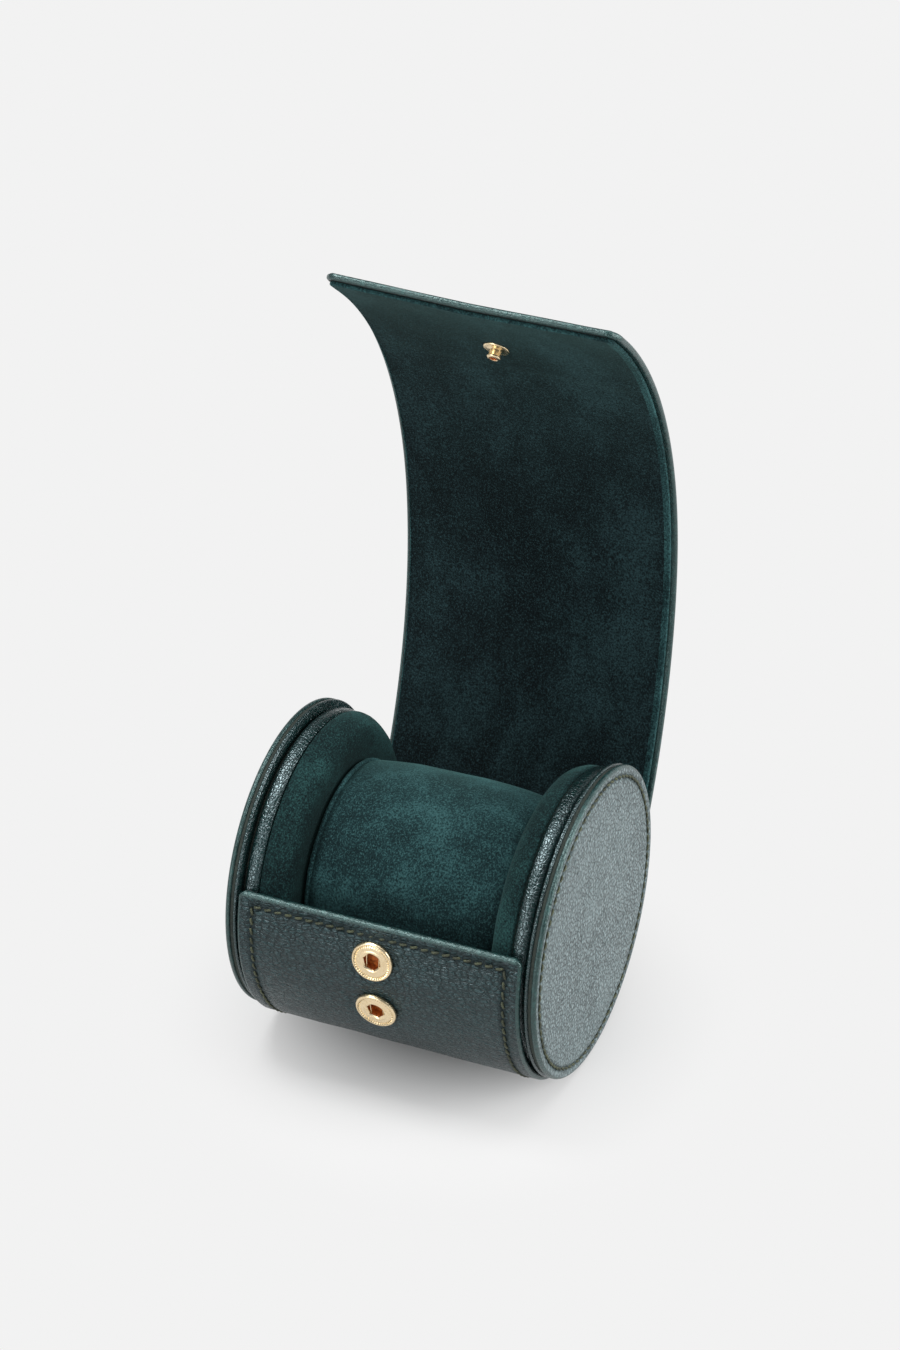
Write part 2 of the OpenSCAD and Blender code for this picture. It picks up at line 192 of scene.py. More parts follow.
def makeLeather(name, look):
    p = Paint(name)
    at = p.stretched(p.place(), look["grain"])
    wander = p.cloud(at, 0.55, 2, out="Color")
    at2 = p.moved(at, wander, 0.9)
    edge = p.node("ShaderNodeTexVoronoi", {"feature": "DISTANCE_TO_EDGE"},
                  {"Vector": at2, "Scale": look["cell"], "Randomness": 0.9})
    pebble = p.ramp(edge, (0.0, 0.0), (0.06, 0.35), (0.16, 0.8), (0.4, 1.0))
    fine = p.cloud(at, 7.0, 3, 0.6)
    broad = p.cloud(at, 0.06, 3, 0.6)
    dents = p.cloud(at, 0.35, 2)
    folds = p.node("ShaderNodeTexVoronoi", {"feature": "DISTANCE_TO_EDGE"},
                   {"Vector": at2, "Scale": look["cell"] * 0.43, "Randomness": 1.0})
    ripple = p.cloud(p.stretched(at2, (0.45, 1.5, 1.5)), 0.9, 3, 0.55)
    height = pebble * 0.5 + p.ramp(folds, (0.0, 0.0), (0.3, 1.0)) * look["folds"] + fine * 0.12 + dents * 0.45
    height = height + ripple * look["ripple"] - p.channelDepthAndShade() * look["channel"]
    # painted shade: the crease colour fills the pebble edges, the fold lines and the ripple valleys
    tone = p.blendColours(p.ramp(edge, (0.0, 0.0), (0.05, 0.25), (0.2, 1.0)), look["crease"], look["body"])
    # the pebble tops turn lighter: part polish, part painted highlight
    tone = p.blendColours(p.ramp(edge, (0.2, 0.0), (0.5, look["polishAndHighlight"])), tone, look["top"])
    tone = p.blendColours(p.ramp(folds, (0.0, 0.45), (0.11, 0.0)), tone, look["crease"])
    tone = p.blendColours(p.ramp(ripple, (0.36, 0.42 * look["ripple"]), (0.49, 0.0)), tone, look["crease"])
    tone = p.blendColours(p.ramp(broad, (0.42, 0.0), (0.75, 0.35)), tone, look["worn"])
    # painted shade: darker in the stitch channels
    tone = p.blendColours(p.channelDepthAndShade(), tone, look["crease"])
    dull = p.ramp(pebble * 0.6 + broad * 0.4, (0.0, look["roughness"] + 0.18), (0.8, look["roughness"]))
    p.give(Base_Color=tone, Roughness=dull + p.channelDepthAndShade() * 0.6, Normal=p.bump(height, look["depth"]),
           Specular_IOR_Level=look["gloss"], Specular_Tint=look["gleam"])
    return p.material


edgeLook = {"paint": colour(12, 36, 36), "worn": colour(34, 70, 68), "roughness": 0.2, "depth": 0.0002,
            "gloss": 0.85, "gleam": (0.72, 0.96, 0.93, 1)}


def makeEdgePaint(name, look):
    # burnished and painted edge of the leather
    p = Paint(name)
    at = p.place()
    long = p.cloud(p.stretched(at, (1, 0.6, 0.6)), 1.1, 3, 0.6)
    speck = p.cloud(at, 5.0, 2)
    grit = p.cloud(at, 1.4, 2)
    tone = p.blendColours(p.ramp(long, (0.48, 0.0), (0.72, 0.8)), look["paint"], look["worn"])
    p.give(Base_Color=tone,
           Roughness=p.ramp(speck, (0.3, look["roughness"]), (0.7, look["roughness"] + 0.2)),
           Specular_IOR_Level=look["gloss"], Specular_Tint=look["gleam"],
           Normal=p.bump(speck * 0.5 + long * 0.3 + grit * 0.9, look["depth"]))
    return p.material


suedeLook = {
    "nap": colour(32, 60, 63),
    "deep": colour(17, 36, 39),
    "brushed": colour(60, 98, 99),
    "sheen": 0.28,
    "sheenTint": colour(110, 165, 160),
    "depth": 0.00016,
    "strokes": (1, 1, 1),  # less than 1 draws the brushed patches out that way
}


def makeSuede(name, look):
    p = Paint(name)
    at = p.place()
    wander = p.cloud(at, 0.16, 2, out="Color")
    at2 = p.moved(at, wander, 7.0)
    patches = p.cloud(p.stretched(at2, look["strokes"]), 0.075, 4, 0.6)
    fuzz = p.cloud(at, 1.9, 3, 0.75)
    fleck = p.cloud(p.stretched(at, (1.0, 0.6, 0.6)), 3.4, 3, 0.7)
    dark = tuple(c * 0.45 for c in look["deep"][:3]) + (1,)
    tone = p.blendColours(p.ramp(patches, (0.36, 0.0), (0.62, 1.0)), look["deep"], look["nap"])
    brushed = p.ramp(patches * 0.55 + fuzz * 0.45, (0.5, 0.0), (0.72, 0.8))
    tone = p.blendColours(brushed, tone, look["brushed"])
    tone = p.blendColours(p.ramp(fuzz * 0.5 + fleck * 0.5, (0.38, 1.0), (0.52, 0.0)), tone, dark)
    tone = p.blendColours(p.ramp(fuzz * 0.4 + fleck * 0.6, (0.51, 0.0), (0.62, 0.7)), tone, look["brushed"])
    # painted shade: darker in the channels, beside the welts and towards the cushion
    tone = p.blendColours(p.channelDepthAndShade() * 0.8, tone, dark)
    p.give(Base_Color=tone, Roughness=0.95, Specular_IOR_Level=0.12,
           Sheen_Weight=look["sheen"], Sheen_Roughness=0.45, Sheen_Tint=look["sheenTint"],
           Normal=p.bump(fuzz * 0.6 + fleck * 0.4, look["depth"]))
    return p.material


threadLook = {"light": colour(98, 104, 74), "dark": colour(24, 30, 20)}


def makeThread(name, look):
    p = Paint(name)
    at = p.place()
    ply = p.node("ShaderNodeTexWave", {"bands_direction": "DIAGONAL"},
                 {"Vector": at, "Scale": 1.3, "Distortion": 1.0})
    soil = p.cloud(at, 0.5, 2)
    tone = p.blendColours(p.ramp(ply, (0.2, 0.0), (0.8, 1.0)) * p.ramp(soil, (0.35, 0.25), (0.65, 1.0)),
                          look["dark"], look["light"])
    p.give(Base_Color=tone, Roughness=0.6, Normal=p.bump(ply, 0.00006))
    return p.material


goldLook = {"metal": (0.84, 0.68, 0.44, 1), "tarnish": (0.66, 0.46, 0.22, 1), "roughness": 0.2}


def makeGold(name, look):
    p = Paint(name)
    at = p.place()
    stain = p.cloud(at, 0.9, 3, 0.6)
    scratch = p.cloud(p.stretched(at, (0.7, 6, 6)), 2.0, 2)
    p.give(Base_Color=p.blendColours(p.ramp(stain, (0.5, 0.0), (0.75, 0.5)), look["metal"], look["tarnish"]),
           Metallic=1.0,
           Roughness=p.ramp(scratch * 0.5 + stain * 0.5, (0.35, look["roughness"]),
                            (0.7, look["roughness"] + 0.14)),
           Normal=p.bump(scratch, 0.000012))
    return p.material


def makePlain(name, light, dark, roughness, scale, depth, metallic=0.0):
    # boards, lacquer and other small matters, with their own grain
    p = Paint(name)
    at = p.place()
    grain = p.cloud(at, scale, 4, 0.65)
    p.give(Base_Color=p.blendColours(p.ramp(grain, (0.35, 0.0), (0.65, 1.0)), dark, light),
           Roughness=p.ramp(grain, (0.3, roughness), (0.7, min(1.0, roughness + 0.12))),
           Metallic=metallic, Normal=p.bump(grain, depth))
    return p.material


# painted light: the disc leather is a lighter copy of the wrap leather, as if lit from the right, with much
# lighter pebble tops
litDiscLook = dict(leatherLook, body=colour(102, 118, 120), crease=colour(20, 33, 34),
                worn=colour(112, 129, 131), top=colour(152, 168, 170), cell=0.85, roughness=0.32,
                depth=0.00036, polishAndHighlight=0.5, grain=(1, 1, 1), folds=0.5, ripple=0.5, gleam=(0.85, 0.97, 1.0, 1))
bandLook = dict(leatherLook, body=colour(12, 38, 36), roughness=0.2, cell=1.1, depth=0.00016,
                grain=(0.9, 1, 1), ripple=0.6, gloss=0.9)
# painted shade: a darker copy of the suede for the drum shoulders, which lie in shade beside the cushion
shadedDrumSuedeLook = dict(suedeLook, nap=colour(22, 45, 46), deep=colour(10, 25, 27), brushed=colour(41, 76, 75),
                     sheen=0.16)
# painted shade: a darker copy of the lining suede for the flap, whose lining faces down into shade
shadedFlapSuedeLook = dict(suedeLook, nap=colour(20, 35, 38), deep=colour(7, 16, 19), brushed=colour(44, 68, 72),
                     sheen=0.2, strokes=(1.0, 0.55, 0.55))
wrapHide = makeLeather("wrap leather", leatherLook)
litDiscHide = makeLeather("disc leather painted lit", litDiscLook)
bandHide = makeLeather("band leather", bandLook)
edgePaint = makeEdgePaint("edge paint", edgeLook)
suede = makeSuede("suede", suedeLook)
shadedDrumSuede = makeSuede("drum suede painted shade", shadedDrumSuedeLook)
shadedFlapSuede = makeSuede("flap suede painted shade", shadedFlapSuedeLook)
flesh = makePlain("flesh side", colour(18, 28, 28), colour(9, 15, 15), 0.7, 1.5, 0.00008)
thread = makeThread("thread", threadLook)
gold = makeGold("gold", goldLook)
lacquer = makePlain("brown lacquer", colour(206, 116, 48), colour(128, 62, 22), 0.3, 1.6, 0.00003, 0.2)
board = makePlain("board", colour(52, 60, 54), colour(30, 36, 33), 0.85, 1.2, 0.00006)
print("finishes made")


# Mesh words, which all the pieces share
def makePiece(name, points, faces, materials, kinds=None, sharp=40.0):
    mesh = bpy.data.meshes.new(name)
    mesh.from_pydata([inFrame(p) for p in points], [], faces)
    for m in materials:
        mesh.materials.append(m)
    if kinds is not None:
        mesh.polygons.foreach_set("material_index", kinds)
    return dress(name, mesh, sharp)


def dress(name, mesh, sharp=40.0):
    work = bmesh.new()
    work.from_mesh(mesh)
    bmesh.ops.recalc_face_normals(work, faces=work.faces)
    work.to_mesh(mesh)
    work.free()
    mesh.polygons.foreach_set("use_smooth", [True] * len(mesh.polygons))
    mesh.set_sharp_from_angle(angle=math.radians(sharp))
    rememberPlace(mesh)
    piece = bpy.data.objects.new(name, mesh)
    bpy.context.scene.collection.objects.link(piece)
    return piece


def rememberPlace(mesh):
    at = np.empty(len(mesh.vertices) * 3, np.float32)
    mesh.vertices.foreach_get("co", at)
    layer = mesh.attributes.get("restPlace") or mesh.attributes.new("restPlace", "FLOAT_VECTOR", "POINT")
    layer.data.foreach_set("vector", at / mm)


def wobble(x, y, z, scale, amount, seed=0.0):
    # soft unevenness of hand work, the same on each run
    return amount * noise.noise(Vector((x / scale + seed, y / scale - seed, z / scale + 3.1)))


def roundedSection(halfWidth, low, high, corner, columns):
    # closed outline across a sheet, as (x, height, part); part 0 is the top, 1 the edges, 2 the underside
    c = min(corner, (high - low) / 2 - 0.01)
    flat = halfWidth - c
    outline = [(flat * (2 * k / columns - 1), high, 0) for k in range(columns + 1)]
    turn = 5
    for k in range(1, turn + 1):
        t = math.pi / 2 * k / turn
        outline.append((flat + c * math.sin(t), high - c + c * math.cos(t), 1))
    for k in range(0, turn + 1):
        t = math.pi / 2 * k / turn
        outline.append((flat + c * math.cos(t), low + c - c * math.sin(t), 1))
    outline += [(flat * (1 - 2 * k / columns), low, 2) for k in range(1, columns + 1)]
    for k in range(1, turn + 1):
        t = math.pi / 2 * k / turn
        outline.append((-flat - c * math.sin(t), low + c - c * math.cos(t), 1))
    for k in range(0, turn):
        t = math.pi / 2 * k / turn
        outline.append((-flat - c * math.cos(t), high - c + c * math.sin(t), 1))
    return outline


def keepChannel(piece, depths):
    layer = piece.data.attributes.new("channel", "FLOAT", "POINT")
    layer.data.foreach_set("value", np.clip(np.array(depths, np.float32), 0, 1))


def sheetPiece(name, stations, size, materials, shape=None, channel=None):
    # stations: (place along, (y, z), (ny, nz), width inset, thickness inset)
    points, faces, kinds, depths = [], [], [], []
    count = 0
    for along, p, n, insetW, insetT in stations:
        ring = roundedSection(size["halfWidth"] - insetW, size["low"] + insetT, size["high"] - insetT,
                              size["corner"], size["columns"])
        count = len(ring)
        for x, h, part in ring:
            if shape:
                h += shape(x, along, part)
            depths.append(channel(x, along) if channel and part == 0 else 0.0)
            points.append((x, p[0] + n[0] * h, p[1] + n[1] * h))
    parts = [part for _, _, part in ring]
    for i in range(len(stations) - 1):
        for k in range(count):
            k2 = (k + 1) % count
            a, b = i * count, (i + 1) * count
            faces.append((a + k, a + k2, b + k2, b + k))
            rounded = max(stations[i][4], stations[i + 1][4]) > 0.01 or i < size.get("bead", 0)
            kinds.append(parts[k] if parts[k] == parts[k2] and not rounded else 1)
    last = (len(stations) - 1) * count
    faces += [tuple(range(count)), tuple(range(last + count - 1, last - 1, -1))]
    kinds += [1, 1]
    piece = makePiece(name, points, faces, materials, kinds)
    keepChannel(piece, depths)
    return piece


def turnedRings(outline, put, steps, shape=None):
    # outline: (radius, height) from end to end; put gives the point at a radius, a height and an angle
    points, rings = [], []
    for r, h in outline:
        angles = [2 * math.pi * k / steps for k in range(steps)] if r > 1e-6 else [0.0]
        rings.append(list(range(len(points), len(points) + len(angles))))
        for t in angles:
            points.append(put(*(shape(r, h, t) if shape and len(angles) > 1 else (r, h)), t))
    return points, rings


def joinRings(rings, kinds=None, closed=False):
    # the faces between one ring and the next; a ring of one point is a centre
    faces, faceKinds = [], []
    for i in range(len(rings) - (0 if closed else 1)):
        a, b = rings[i], rings[(i + 1) % len(rings)]
        steps = max(len(a), len(b))
        for k in range(steps if steps > 1 else 0):
            k2 = (k + 1) % steps
            if len(a) == 1:
                faces.append((a[0], b[k2], b[k]))
            elif len(b) == 1:
                faces.append((a[k], a[k2], b[0]))
            else:
                faces.append((a[k], a[k2], b[k2], b[k]))
            faceKinds.append(kinds[i] if kinds else 0)
    return faces, faceKinds


def turnedPiece(name, outline, materials, steps=160, side=1, kinds=None, shape=None, closed=False):
    # turned about the axis of the roll
    def put(r, x, t):
        return (side * x, r * math.cos(t), r * math.sin(t))
    points, rings = turnedRings(outline, put, steps, shape)
    faces, faceKinds = joinRings(rings, kinds, closed)
    return makePiece(name, points, faces, materials, faceKinds)


def turnedOn(name, outline, materials, kinds, base, up, steps=96, shape=None):
    # turned about up, from base
    turn = up.to_track_quat("Z", "Y")

    def put(r, h, t):
        return tuple(base + turn @ Vector((r * math.cos(t), r * math.sin(t), h)))
    points, rings = turnedRings(outline, put, steps, shape)
    faces, faceKinds = joinRings(rings, kinds)
    return makePiece(name, points, faces, materials, faceKinds, sharp=50)


def stand(piece, body, slot, *nodes):
    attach(piece, body)
    if nodes:
        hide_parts(*nodes)
    return piece


# The wrap on the roll, from the front lip to where the flap leaves
wrapSizes = {
    "inside": 38.4,
    "lining": 1.1,
    "leather": 1.6,
    "halfWidth": 37.5,
    "liningInset": 2.0,
    "lipAngle": 160.0,
    "leaveAngle": 319.0,
    "flat": 40.0,
    "stitchX": 33.5,
    "stitchAngle": 164.9,
    "stitchEnd": 250.0,
    "sockets": [{"at": 173.9, "faces": 176.0}, {"at": 196.1, "faces": 192.6}],
    "socketX": -0.7,
    "socketSeat": 40.72,
    "seatReach": 9.2,  # the leather is level round a socket within this, less the blend
    "seatBlend": 3.9,
    "socketBore": 3.25,
    "liningBore": 3.02,
    "beadHeight": 0.42,
    "beadAt": 0.9,
    "beadWidth": 0.8,
    "grooveDepth": 0.22,
    "grooveWidth": 0.75,
    "channelWidth": 0.62,
}
sheet = wrapSizes["lining"] + wrapSizes["leather"]
outside = wrapSizes["inside"] + sheet


def outward(degrees):
    t = math.radians(degrees)
    return (math.cos(t), math.sin(t))


def endRounding(distance, corner, edge):
    # how far the outline draws in at this distance from an end
    w = corner - math.sqrt(max(0, corner ** 2 - (corner - distance) ** 2)) if distance < corner else 0
    t = edge - math.sqrt(max(0, edge ** 2 - (edge - distance) ** 2)) if distance < edge else 0
    return w, t


def endSteps(edge, corner):
    steps = sorted({0.0, 0.04, 0.12, 0.25, 0.45, edge * 0.85, edge, corner * 0.6, corner})
    return [s for s in steps if s <= max(edge, corner)]


def rollStations(start, end, radius, edge, corner, spacing=1.0):
    # along is measured from the leave point, so it is negative on the roll
    perDegree = math.radians(1) * radius
    total = (end - start) * perDegree
    marks = endSteps(edge, corner)
    marks += list(np.linspace(marks[-1], total, int((total - marks[-1]) / spacing) + 2)[1:])
    made = []
    for d in marks:
        angle = start + d / perDegree
        n = outward(angle)
        w, t = endRounding(d, corner, edge)
        made.append((d - total, (n[0] * wrapSizes["inside"], n[1] * wrapSizes["inside"]), n, w, t))
    return made


def angleAt(along):
    return wrapSizes["leaveAngle"] + along / (math.radians(1) * outside)


def lineFade(distance, width):
    return math.exp(-(distance / width) ** 2)


def easing(t):
    t = min(1.0, max(0.0, t))
    return t * t * (3 - 2 * t)


# how deep a point of the wrap lies in a stitch channel, for the bump and for painted shade in the channel
def wrapChannel(x, along):
    w = wrapSizes
    angle = angleAt(along)
    depth = 0.0
    if w["stitchAngle"] - 1 < angle < w["stitchEnd"] + 1:
        depth = lineFade(abs(x) - w["stitchX"], w["channelWidth"])
    if abs(x) < w["stitchX"] + 0.3:
        fromRow = (angle - w["stitchAngle"]) * math.radians(1) * outside
        depth = max(depth, lineFade(fromRow, w["channelWidth"]))
    return 0.97 * depth


def seatChange(x, n, change):
    # the leather is pressed level round each socket
    for socket in wrapSizes["sockets"]:
        at, m = outward(socket["at"]), outward(socket["faces"])
        across = (n[1] * at[0] - n[0] * at[1]) * outside
        reach = math.hypot(x - wrapSizes["socketX"], across)
        if reach < 10:
            level = wrapSizes["socketSeat"] * (at[0] * m[0] + at[1] * m[1]) - 0.04
            seat = level / max(0.2, n[0] * m[0] + n[1] * m[1]) - outside
            share = easing((wrapSizes["seatReach"] - reach) / wrapSizes["seatBlend"])
            change = change * (1 - share) + seat * share
    return change


def wrapShape(x, along, part):
    # folded bead of the lip, pressed groove under the stitches, and hand-made unevenness
    w = wrapSizes
    angle = angleAt(along)
    n = outward(angle)
    change = 0.0
    if part != 2:
        fromLip = (angle - w["lipAngle"]) * math.radians(1) * outside
        change += w["beadHeight"] * lineFade(fromLip - w["beadAt"], w["beadWidth"])
    if part == 0:
        if w["stitchAngle"] < angle < w["stitchEnd"] + 2:
            change -= w["grooveDepth"] * lineFade(abs(x) - w["stitchX"], w["grooveWidth"])
        fromRow = (angle - w["stitchAngle"]) * math.radians(1) * outside
        if abs(x) < w["stitchX"]:
            change -= w["grooveDepth"] * lineFade(fromRow, w["grooveWidth"])
        change += wobble(x, n[0] * outside, n[1] * outside, 11, 0.16)
        change = seatChange(x, n, change)
    # the underside rests level with the discs
    if n[1] < 0 and part != 1:
        height = sheet if part == 0 else w["lining"]
        change = min(change, w["flat"] / -n[1] - w["inside"] - height)
    return change


leatherSize = {"halfWidth": wrapSizes["halfWidth"], "low": wrapSizes["lining"], "high": sheet,
               "corner": 0.72, "columns": 110, "bead": 7}
liningSize = {"halfWidth": wrapSizes["halfWidth"] - wrapSizes["liningInset"], "low": 0.0,
              "high": wrapSizes["lining"] - 0.03, "corner": 0.4, "columns": 56}


def flatUnder(piece):
    # nothing of the wrap goes below the floor
    for v in piece.data.vertices:
        if v.co.z < 0:
            v.co.z = 0
    rememberPlace(piece.data)


leatherStations = rollStations(wrapSizes["lipAngle"], wrapSizes["leaveAngle"], outside, 0.8, 2.2, 0.8)
wrapLeather = sheetPiece("wrapLeather", leatherStations, leatherSize, [wrapHide, edgePaint, flesh],
                         wrapShape, wrapChannel)
flatUnder(wrapLeather)


def boreHoles(piece, radius):
    cutters = []
    for socket in wrapSizes["sockets"]:
        at, n = outward(socket["at"]), outward(socket["faces"])
        bpy.ops.mesh.primitive_cylinder_add(vertices=48, radius=radius * mm, depth=8 * mm)
        cutter = bpy.context.object
        cutter.rotation_euler = Vector((0, n[0], n[1])).to_track_quat("Z", "Y").to_euler()
        cutter.location = inFrame((wrapSizes["socketX"], at[0] * outside, at[1] * outside))
        cutters.append(cutter)
        m = piece.modifiers.new("hole", "BOOLEAN")
        m.operation = "DIFFERENCE"
        m.solver = "EXACT"
        m.object = cutter
    bpy.context.view_layer.update()
    done = bpy.data.meshes.new_from_object(piece.evaluated_get(bpy.context.evaluated_depsgraph_get()))
    piece.modifiers.clear()
    piece.data = done
    rememberPlace(done)
    for c in cutters:
        bpy.data.objects.remove(c)


boreHoles(wrapLeather, wrapSizes["socketBore"])
stand(wrapLeather, "roll", "wrap_leather", "wrap_leather")


def wrapLiningShape(x, along, part):
    return abs(wobble(x, along, 0, 9, 0.12)) if part == 2 else 0.0


liningStations = rollStations(wrapSizes["lipAngle"] + 1.5, wrapSizes["leaveAngle"], wrapSizes["inside"],
                              0.4, 0.8, 1.3)
wrapLining = sheetPiece("wrapLining", liningStations, liningSize, [shadedFlapSuede, suede, suede], wrapLiningShape)
boreHoles(wrapLining, wrapSizes["liningBore"])
stand(wrapLining, "roll", "lining_suede", "wrap_lining", "wrap_stiffener")
print("wrap made")


# The flap, in one piece for each strip, shaped along the open flap's curve
hingeAt = {j["child"]: (j["pos_m"][1] / mm, j["pos_m"][2] / mm - axisHeight)
           for j in frame["joints"] if j["child"].startswith("flap_")}
stripCount = len(hingeAt)
hinges = [hingeAt["flap_%d" % i] for i in range(1, stripCount + 1)]
stripLength = math.dist(hinges[0], hinges[1])
leans = [wrapSizes["leaveAngle"] - 360]
for a, b in zip(hinges, hinges[1:]):
    leans.append(math.degrees(math.atan2(-(b[0] - a[0]), b[1] - a[1])))
leans.append(2 * leans[-1] - leans[-2])


def alongStrip(lean):
    t = math.radians(lean)
    return (-math.sin(t), math.cos(t))


def shifted(p, d, by):
    return (p[0] + d[0] * by, p[1] + d[1] * by)


middles = [(wrapSizes["inside"] * outward(leans[0])[0], wrapSizes["inside"] * outward(leans[0])[1])]
middles += [shifted(hinges[i], alongStrip(leans[i + 1]), stripLength / 2) for i in range(stripCount)]

flapSizes = {
    "tipCorner": 3.6,
    "tipEdge": 0.72,
    "creaseBelowStud": 12.0,
    "creaseStep": 0.16,
    "studStrip": 10,
    "liningInset": 1.3,
    "liftFrom": 95.0,  # the open flap is a little twisted from here on
    "liftOver": 90.0,
    "liftLeft": 1.7,
    "liftRight": 0.7,
}
studAlong = flapSizes["studStrip"] * stripLength
flapLength = (stripCount + 0.5) * stripLength


def flapPoint(along):
    # inner face of the flap at this distance from the leave point
    i = min(int(along / stripLength), stripCount - 1)
    t = along / stripLength - i
    m, lean0, lean1 = middles[i], leans[i], leans[i + 1]
    step = math.radians(lean1 - lean0)
    bend = stripLength / 2 / math.tan(step / 2)
    n0 = outward(lean0)
    centre = shifted(m, n0, -bend)
    if t > 1:
        n = outward(lean1)
        return shifted(shifted(centre, n, bend), alongStrip(lean1), (t - 1) * stripLength), n
    n = outward(lean0 + t * (lean1 - lean0))
    return shifted(centre, n, bend), n


def flapStations(i, cut, corner, edge, count):
    start = (i - 1) * stripLength
    end = i * stripLength if i < stripCount else flapLength - cut
    marks = list(np.linspace(start, end, count))
    if i == stripCount:
        tail = [end - d for d in endSteps(edge, corner)]
        marks = [m for m in marks if m < min(tail) - 0.3] + sorted(tail)
    made = []
    for along in marks:
        p, n = flapPoint(along)
        w, t = endRounding(end - along, corner, edge) if i == stripCount else (0, 0)
        made.append((along, p, n, w, t))
    return made


def lifted(x, along):
    # the left corner of the open flap stands higher, and the right one lower
    far = easing((along - flapSizes["liftFrom"]) / flapSizes["liftOver"])
    return far * flapSizes["liftLeft" if x < 0 else "liftRight"] * -x / wrapSizes["halfWidth"]


def liningShape(x, along, part):
    if part == 0:
        return lifted(x, along)
    crease = 1 / (1 + math.exp((along - (studAlong - flapSizes["creaseBelowStud"])) / 0.35))
    soft = abs(wobble(x, along, 0, 16, 0.22)) + abs(wobble(x, along, 5, 5, 0.05))
    return lifted(x, along) + (flapSizes["creaseStep"] * crease + soft if part == 2 else 0.0)


def leatherShape(x, along, part):
    return lifted(x, along) + (wobble(x, along, 2, 14, 0.16) if part == 0 else 0.0)


flapLeatherSize = dict(leatherSize, columns=60, bead=0)
flapLiningSize = dict(liningSize, halfWidth=wrapSizes["halfWidth"] - flapSizes["liningInset"])
for i in range(1, stripCount + 1):
    stations = flapStations(i, 0, flapSizes["tipCorner"], flapSizes["tipEdge"], 20)
    outer = sheetPiece("flapLeather_%d" % i, stations, flapLeatherSize, [wrapHide, edgePaint, flesh],
                       leatherShape)
    stations = flapStations(i, flapSizes["liningInset"], 1.6, 0.4, 24)
    inner = sheetPiece("flapLining_%d" % i, stations, flapLiningSize, [shadedFlapSuede, suede, shadedFlapSuede],
                       liningShape)
    start, end = middles[i - 1], middles[i]
    for piece, slot, node in ((outer, "wrap_leather", "flap_leather_%d" % i),
                              (inner, "lining_suede", "flap_lining_%d" % i)):
        inFrame((0, *start))
        inFrame((0, *end))
        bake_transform(piece)
        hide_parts(node)
print("flap made")


# The end discs
discSizes = {"radius": 40.0, "front": 40.1, "end": 41.5, "rim": 0.95, "stitchRadius": 37.2,
             "backing": (38.3, 39.3)}
# the pressed channel under the stitches, as (distance outwards from the row, depth)
discChannel = ((1.5, 0.0), (1.1, 0.04), (0.75, 0.14), (0.4, 0.24), (0.0, 0.28), (-0.4, 0.22), (-0.8, 0.10),
               (-1.3, -0.01), (-2.2, -0.05), (-3.6, -0.06))


def discShape(r, x, t):
    lift = wobble(r * math.cos(t), r * math.sin(t), 0, 13, 0.14) if x > 41.0 and r < 38.5 else 0.0
    return r, x + lift


def discOutline():
    r, e, f = discSizes["radius"], discSizes["end"], discSizes["front"]
    s = discSizes["stitchRadius"]
    rim = discSizes["rim"]
    line = [(0, f), (12, f), (25, f), (r - 0.5, f), (r - 0.15, f + 0.1), (r, f + 0.32)]
    for k in range(0, 7):
        t = math.pi / 2 * k / 6
        line.append((r - rim + rim * math.cos(t), e - rim + rim * math.sin(t)))
    line += [(s + d, e - drop) for d, drop in discChannel if s + d < r - rim]
    line += [(rr, e + 0.07) for rr in np.arange(32.0, 1.0, -1.6)]
    line.append((0, e + 0.07))
    return line


def backingOutline():
    r, (x0, x1) = discSizes["radius"], discSizes["backing"]
    c = (x1 - x0) / 2
    line = [(0, x0), (20, x0), (r - c, x0)]
    for k in range(1, 8):
        t = math.pi * k / 8
        line.append((r - c + c * math.sin(t), x0 + c - c * math.cos(t)))
    return line + [(r - c, x1), (20, x1), (0, x1)]


# The drums inside the discs
drumSizes = {"bandInner": 36.9, "bandOuter": 38.34, "band": (33.5, 37.5), "face": 26.62, "suede": 38.2,
             "valley": 35.5}


def bandOutline():
    x0, x1 = drumSizes["band"]
    mid, half = (x0 + x1) / 2, (x1 - x0) / 2
    line = [(drumSizes["bandInner"], x0 + 0.05)]
    for k in range(0, 13):
        t = math.pi * k / 12
        line.append((drumSizes["bandOuter"] - 1.3 + 1.3 * math.sin(t) ** 0.9, mid - half * math.cos(t)))
    return line + [(drumSizes["bandInner"], x1 - 0.05)]


def bandShape(r, x, t):
    return r + wobble(x, r * math.cos(t), r * math.sin(t), 5, 0.09), x


def shoulderOutline():
    f = drumSizes["face"]
    # (radius, how far the suede is from the flat of the bay)
    line = ((0, 0.5), (6, 0.48), (12, 0.4), (18, 0.3), (24, 0.16), (28, 0.06), (31, 0), (32.6, 0.08),
            (33.9, 0.4), (35.1, 0.95), (36.1, 1.7), (36.9, 2.6), (37.5, 3.6), (37.95, 4.6), (38.15, 5.5),
            (drumSizes["suede"], 6.1), (38.05, 6.5), (37.6, 6.75), (36.6, 6.86), (20, 6.86), (0, 6.86))
    return [(r, f + away) for r, away in line]


def shoulderShape(r, x, t):
    if x > drumSizes["face"] + 6.4:
        return r, x
    y, z = r * math.cos(t), r * math.sin(t)
    return r - abs(wobble(x, y, z, 9, 0.25)), x + abs(wobble(x, y, z, 12, 0.3, 4.0))


def fromAxis(v):
    return math.hypot(v.co.y / mm, v.co.z / mm - axisHeight)


def discDepth(v):
    # how deep in the channel of the stitches a point of the disc lies, for the bump and for painted shade in
    # the channel
    onFront = abs(v.co.x) / mm > discSizes["end"] - 0.6
    return 0.8 * lineFade(fromAxis(v) - discSizes["stitchRadius"], 0.6) if onFront else 0.0


def valleyShade(v):
    # painted shade: the suede is darker towards the cushion, where the valley lies in shade
    return 0.75 * min(1.0, max(0.0, (drumSizes["valley"] - fromAxis(v)) / 5))


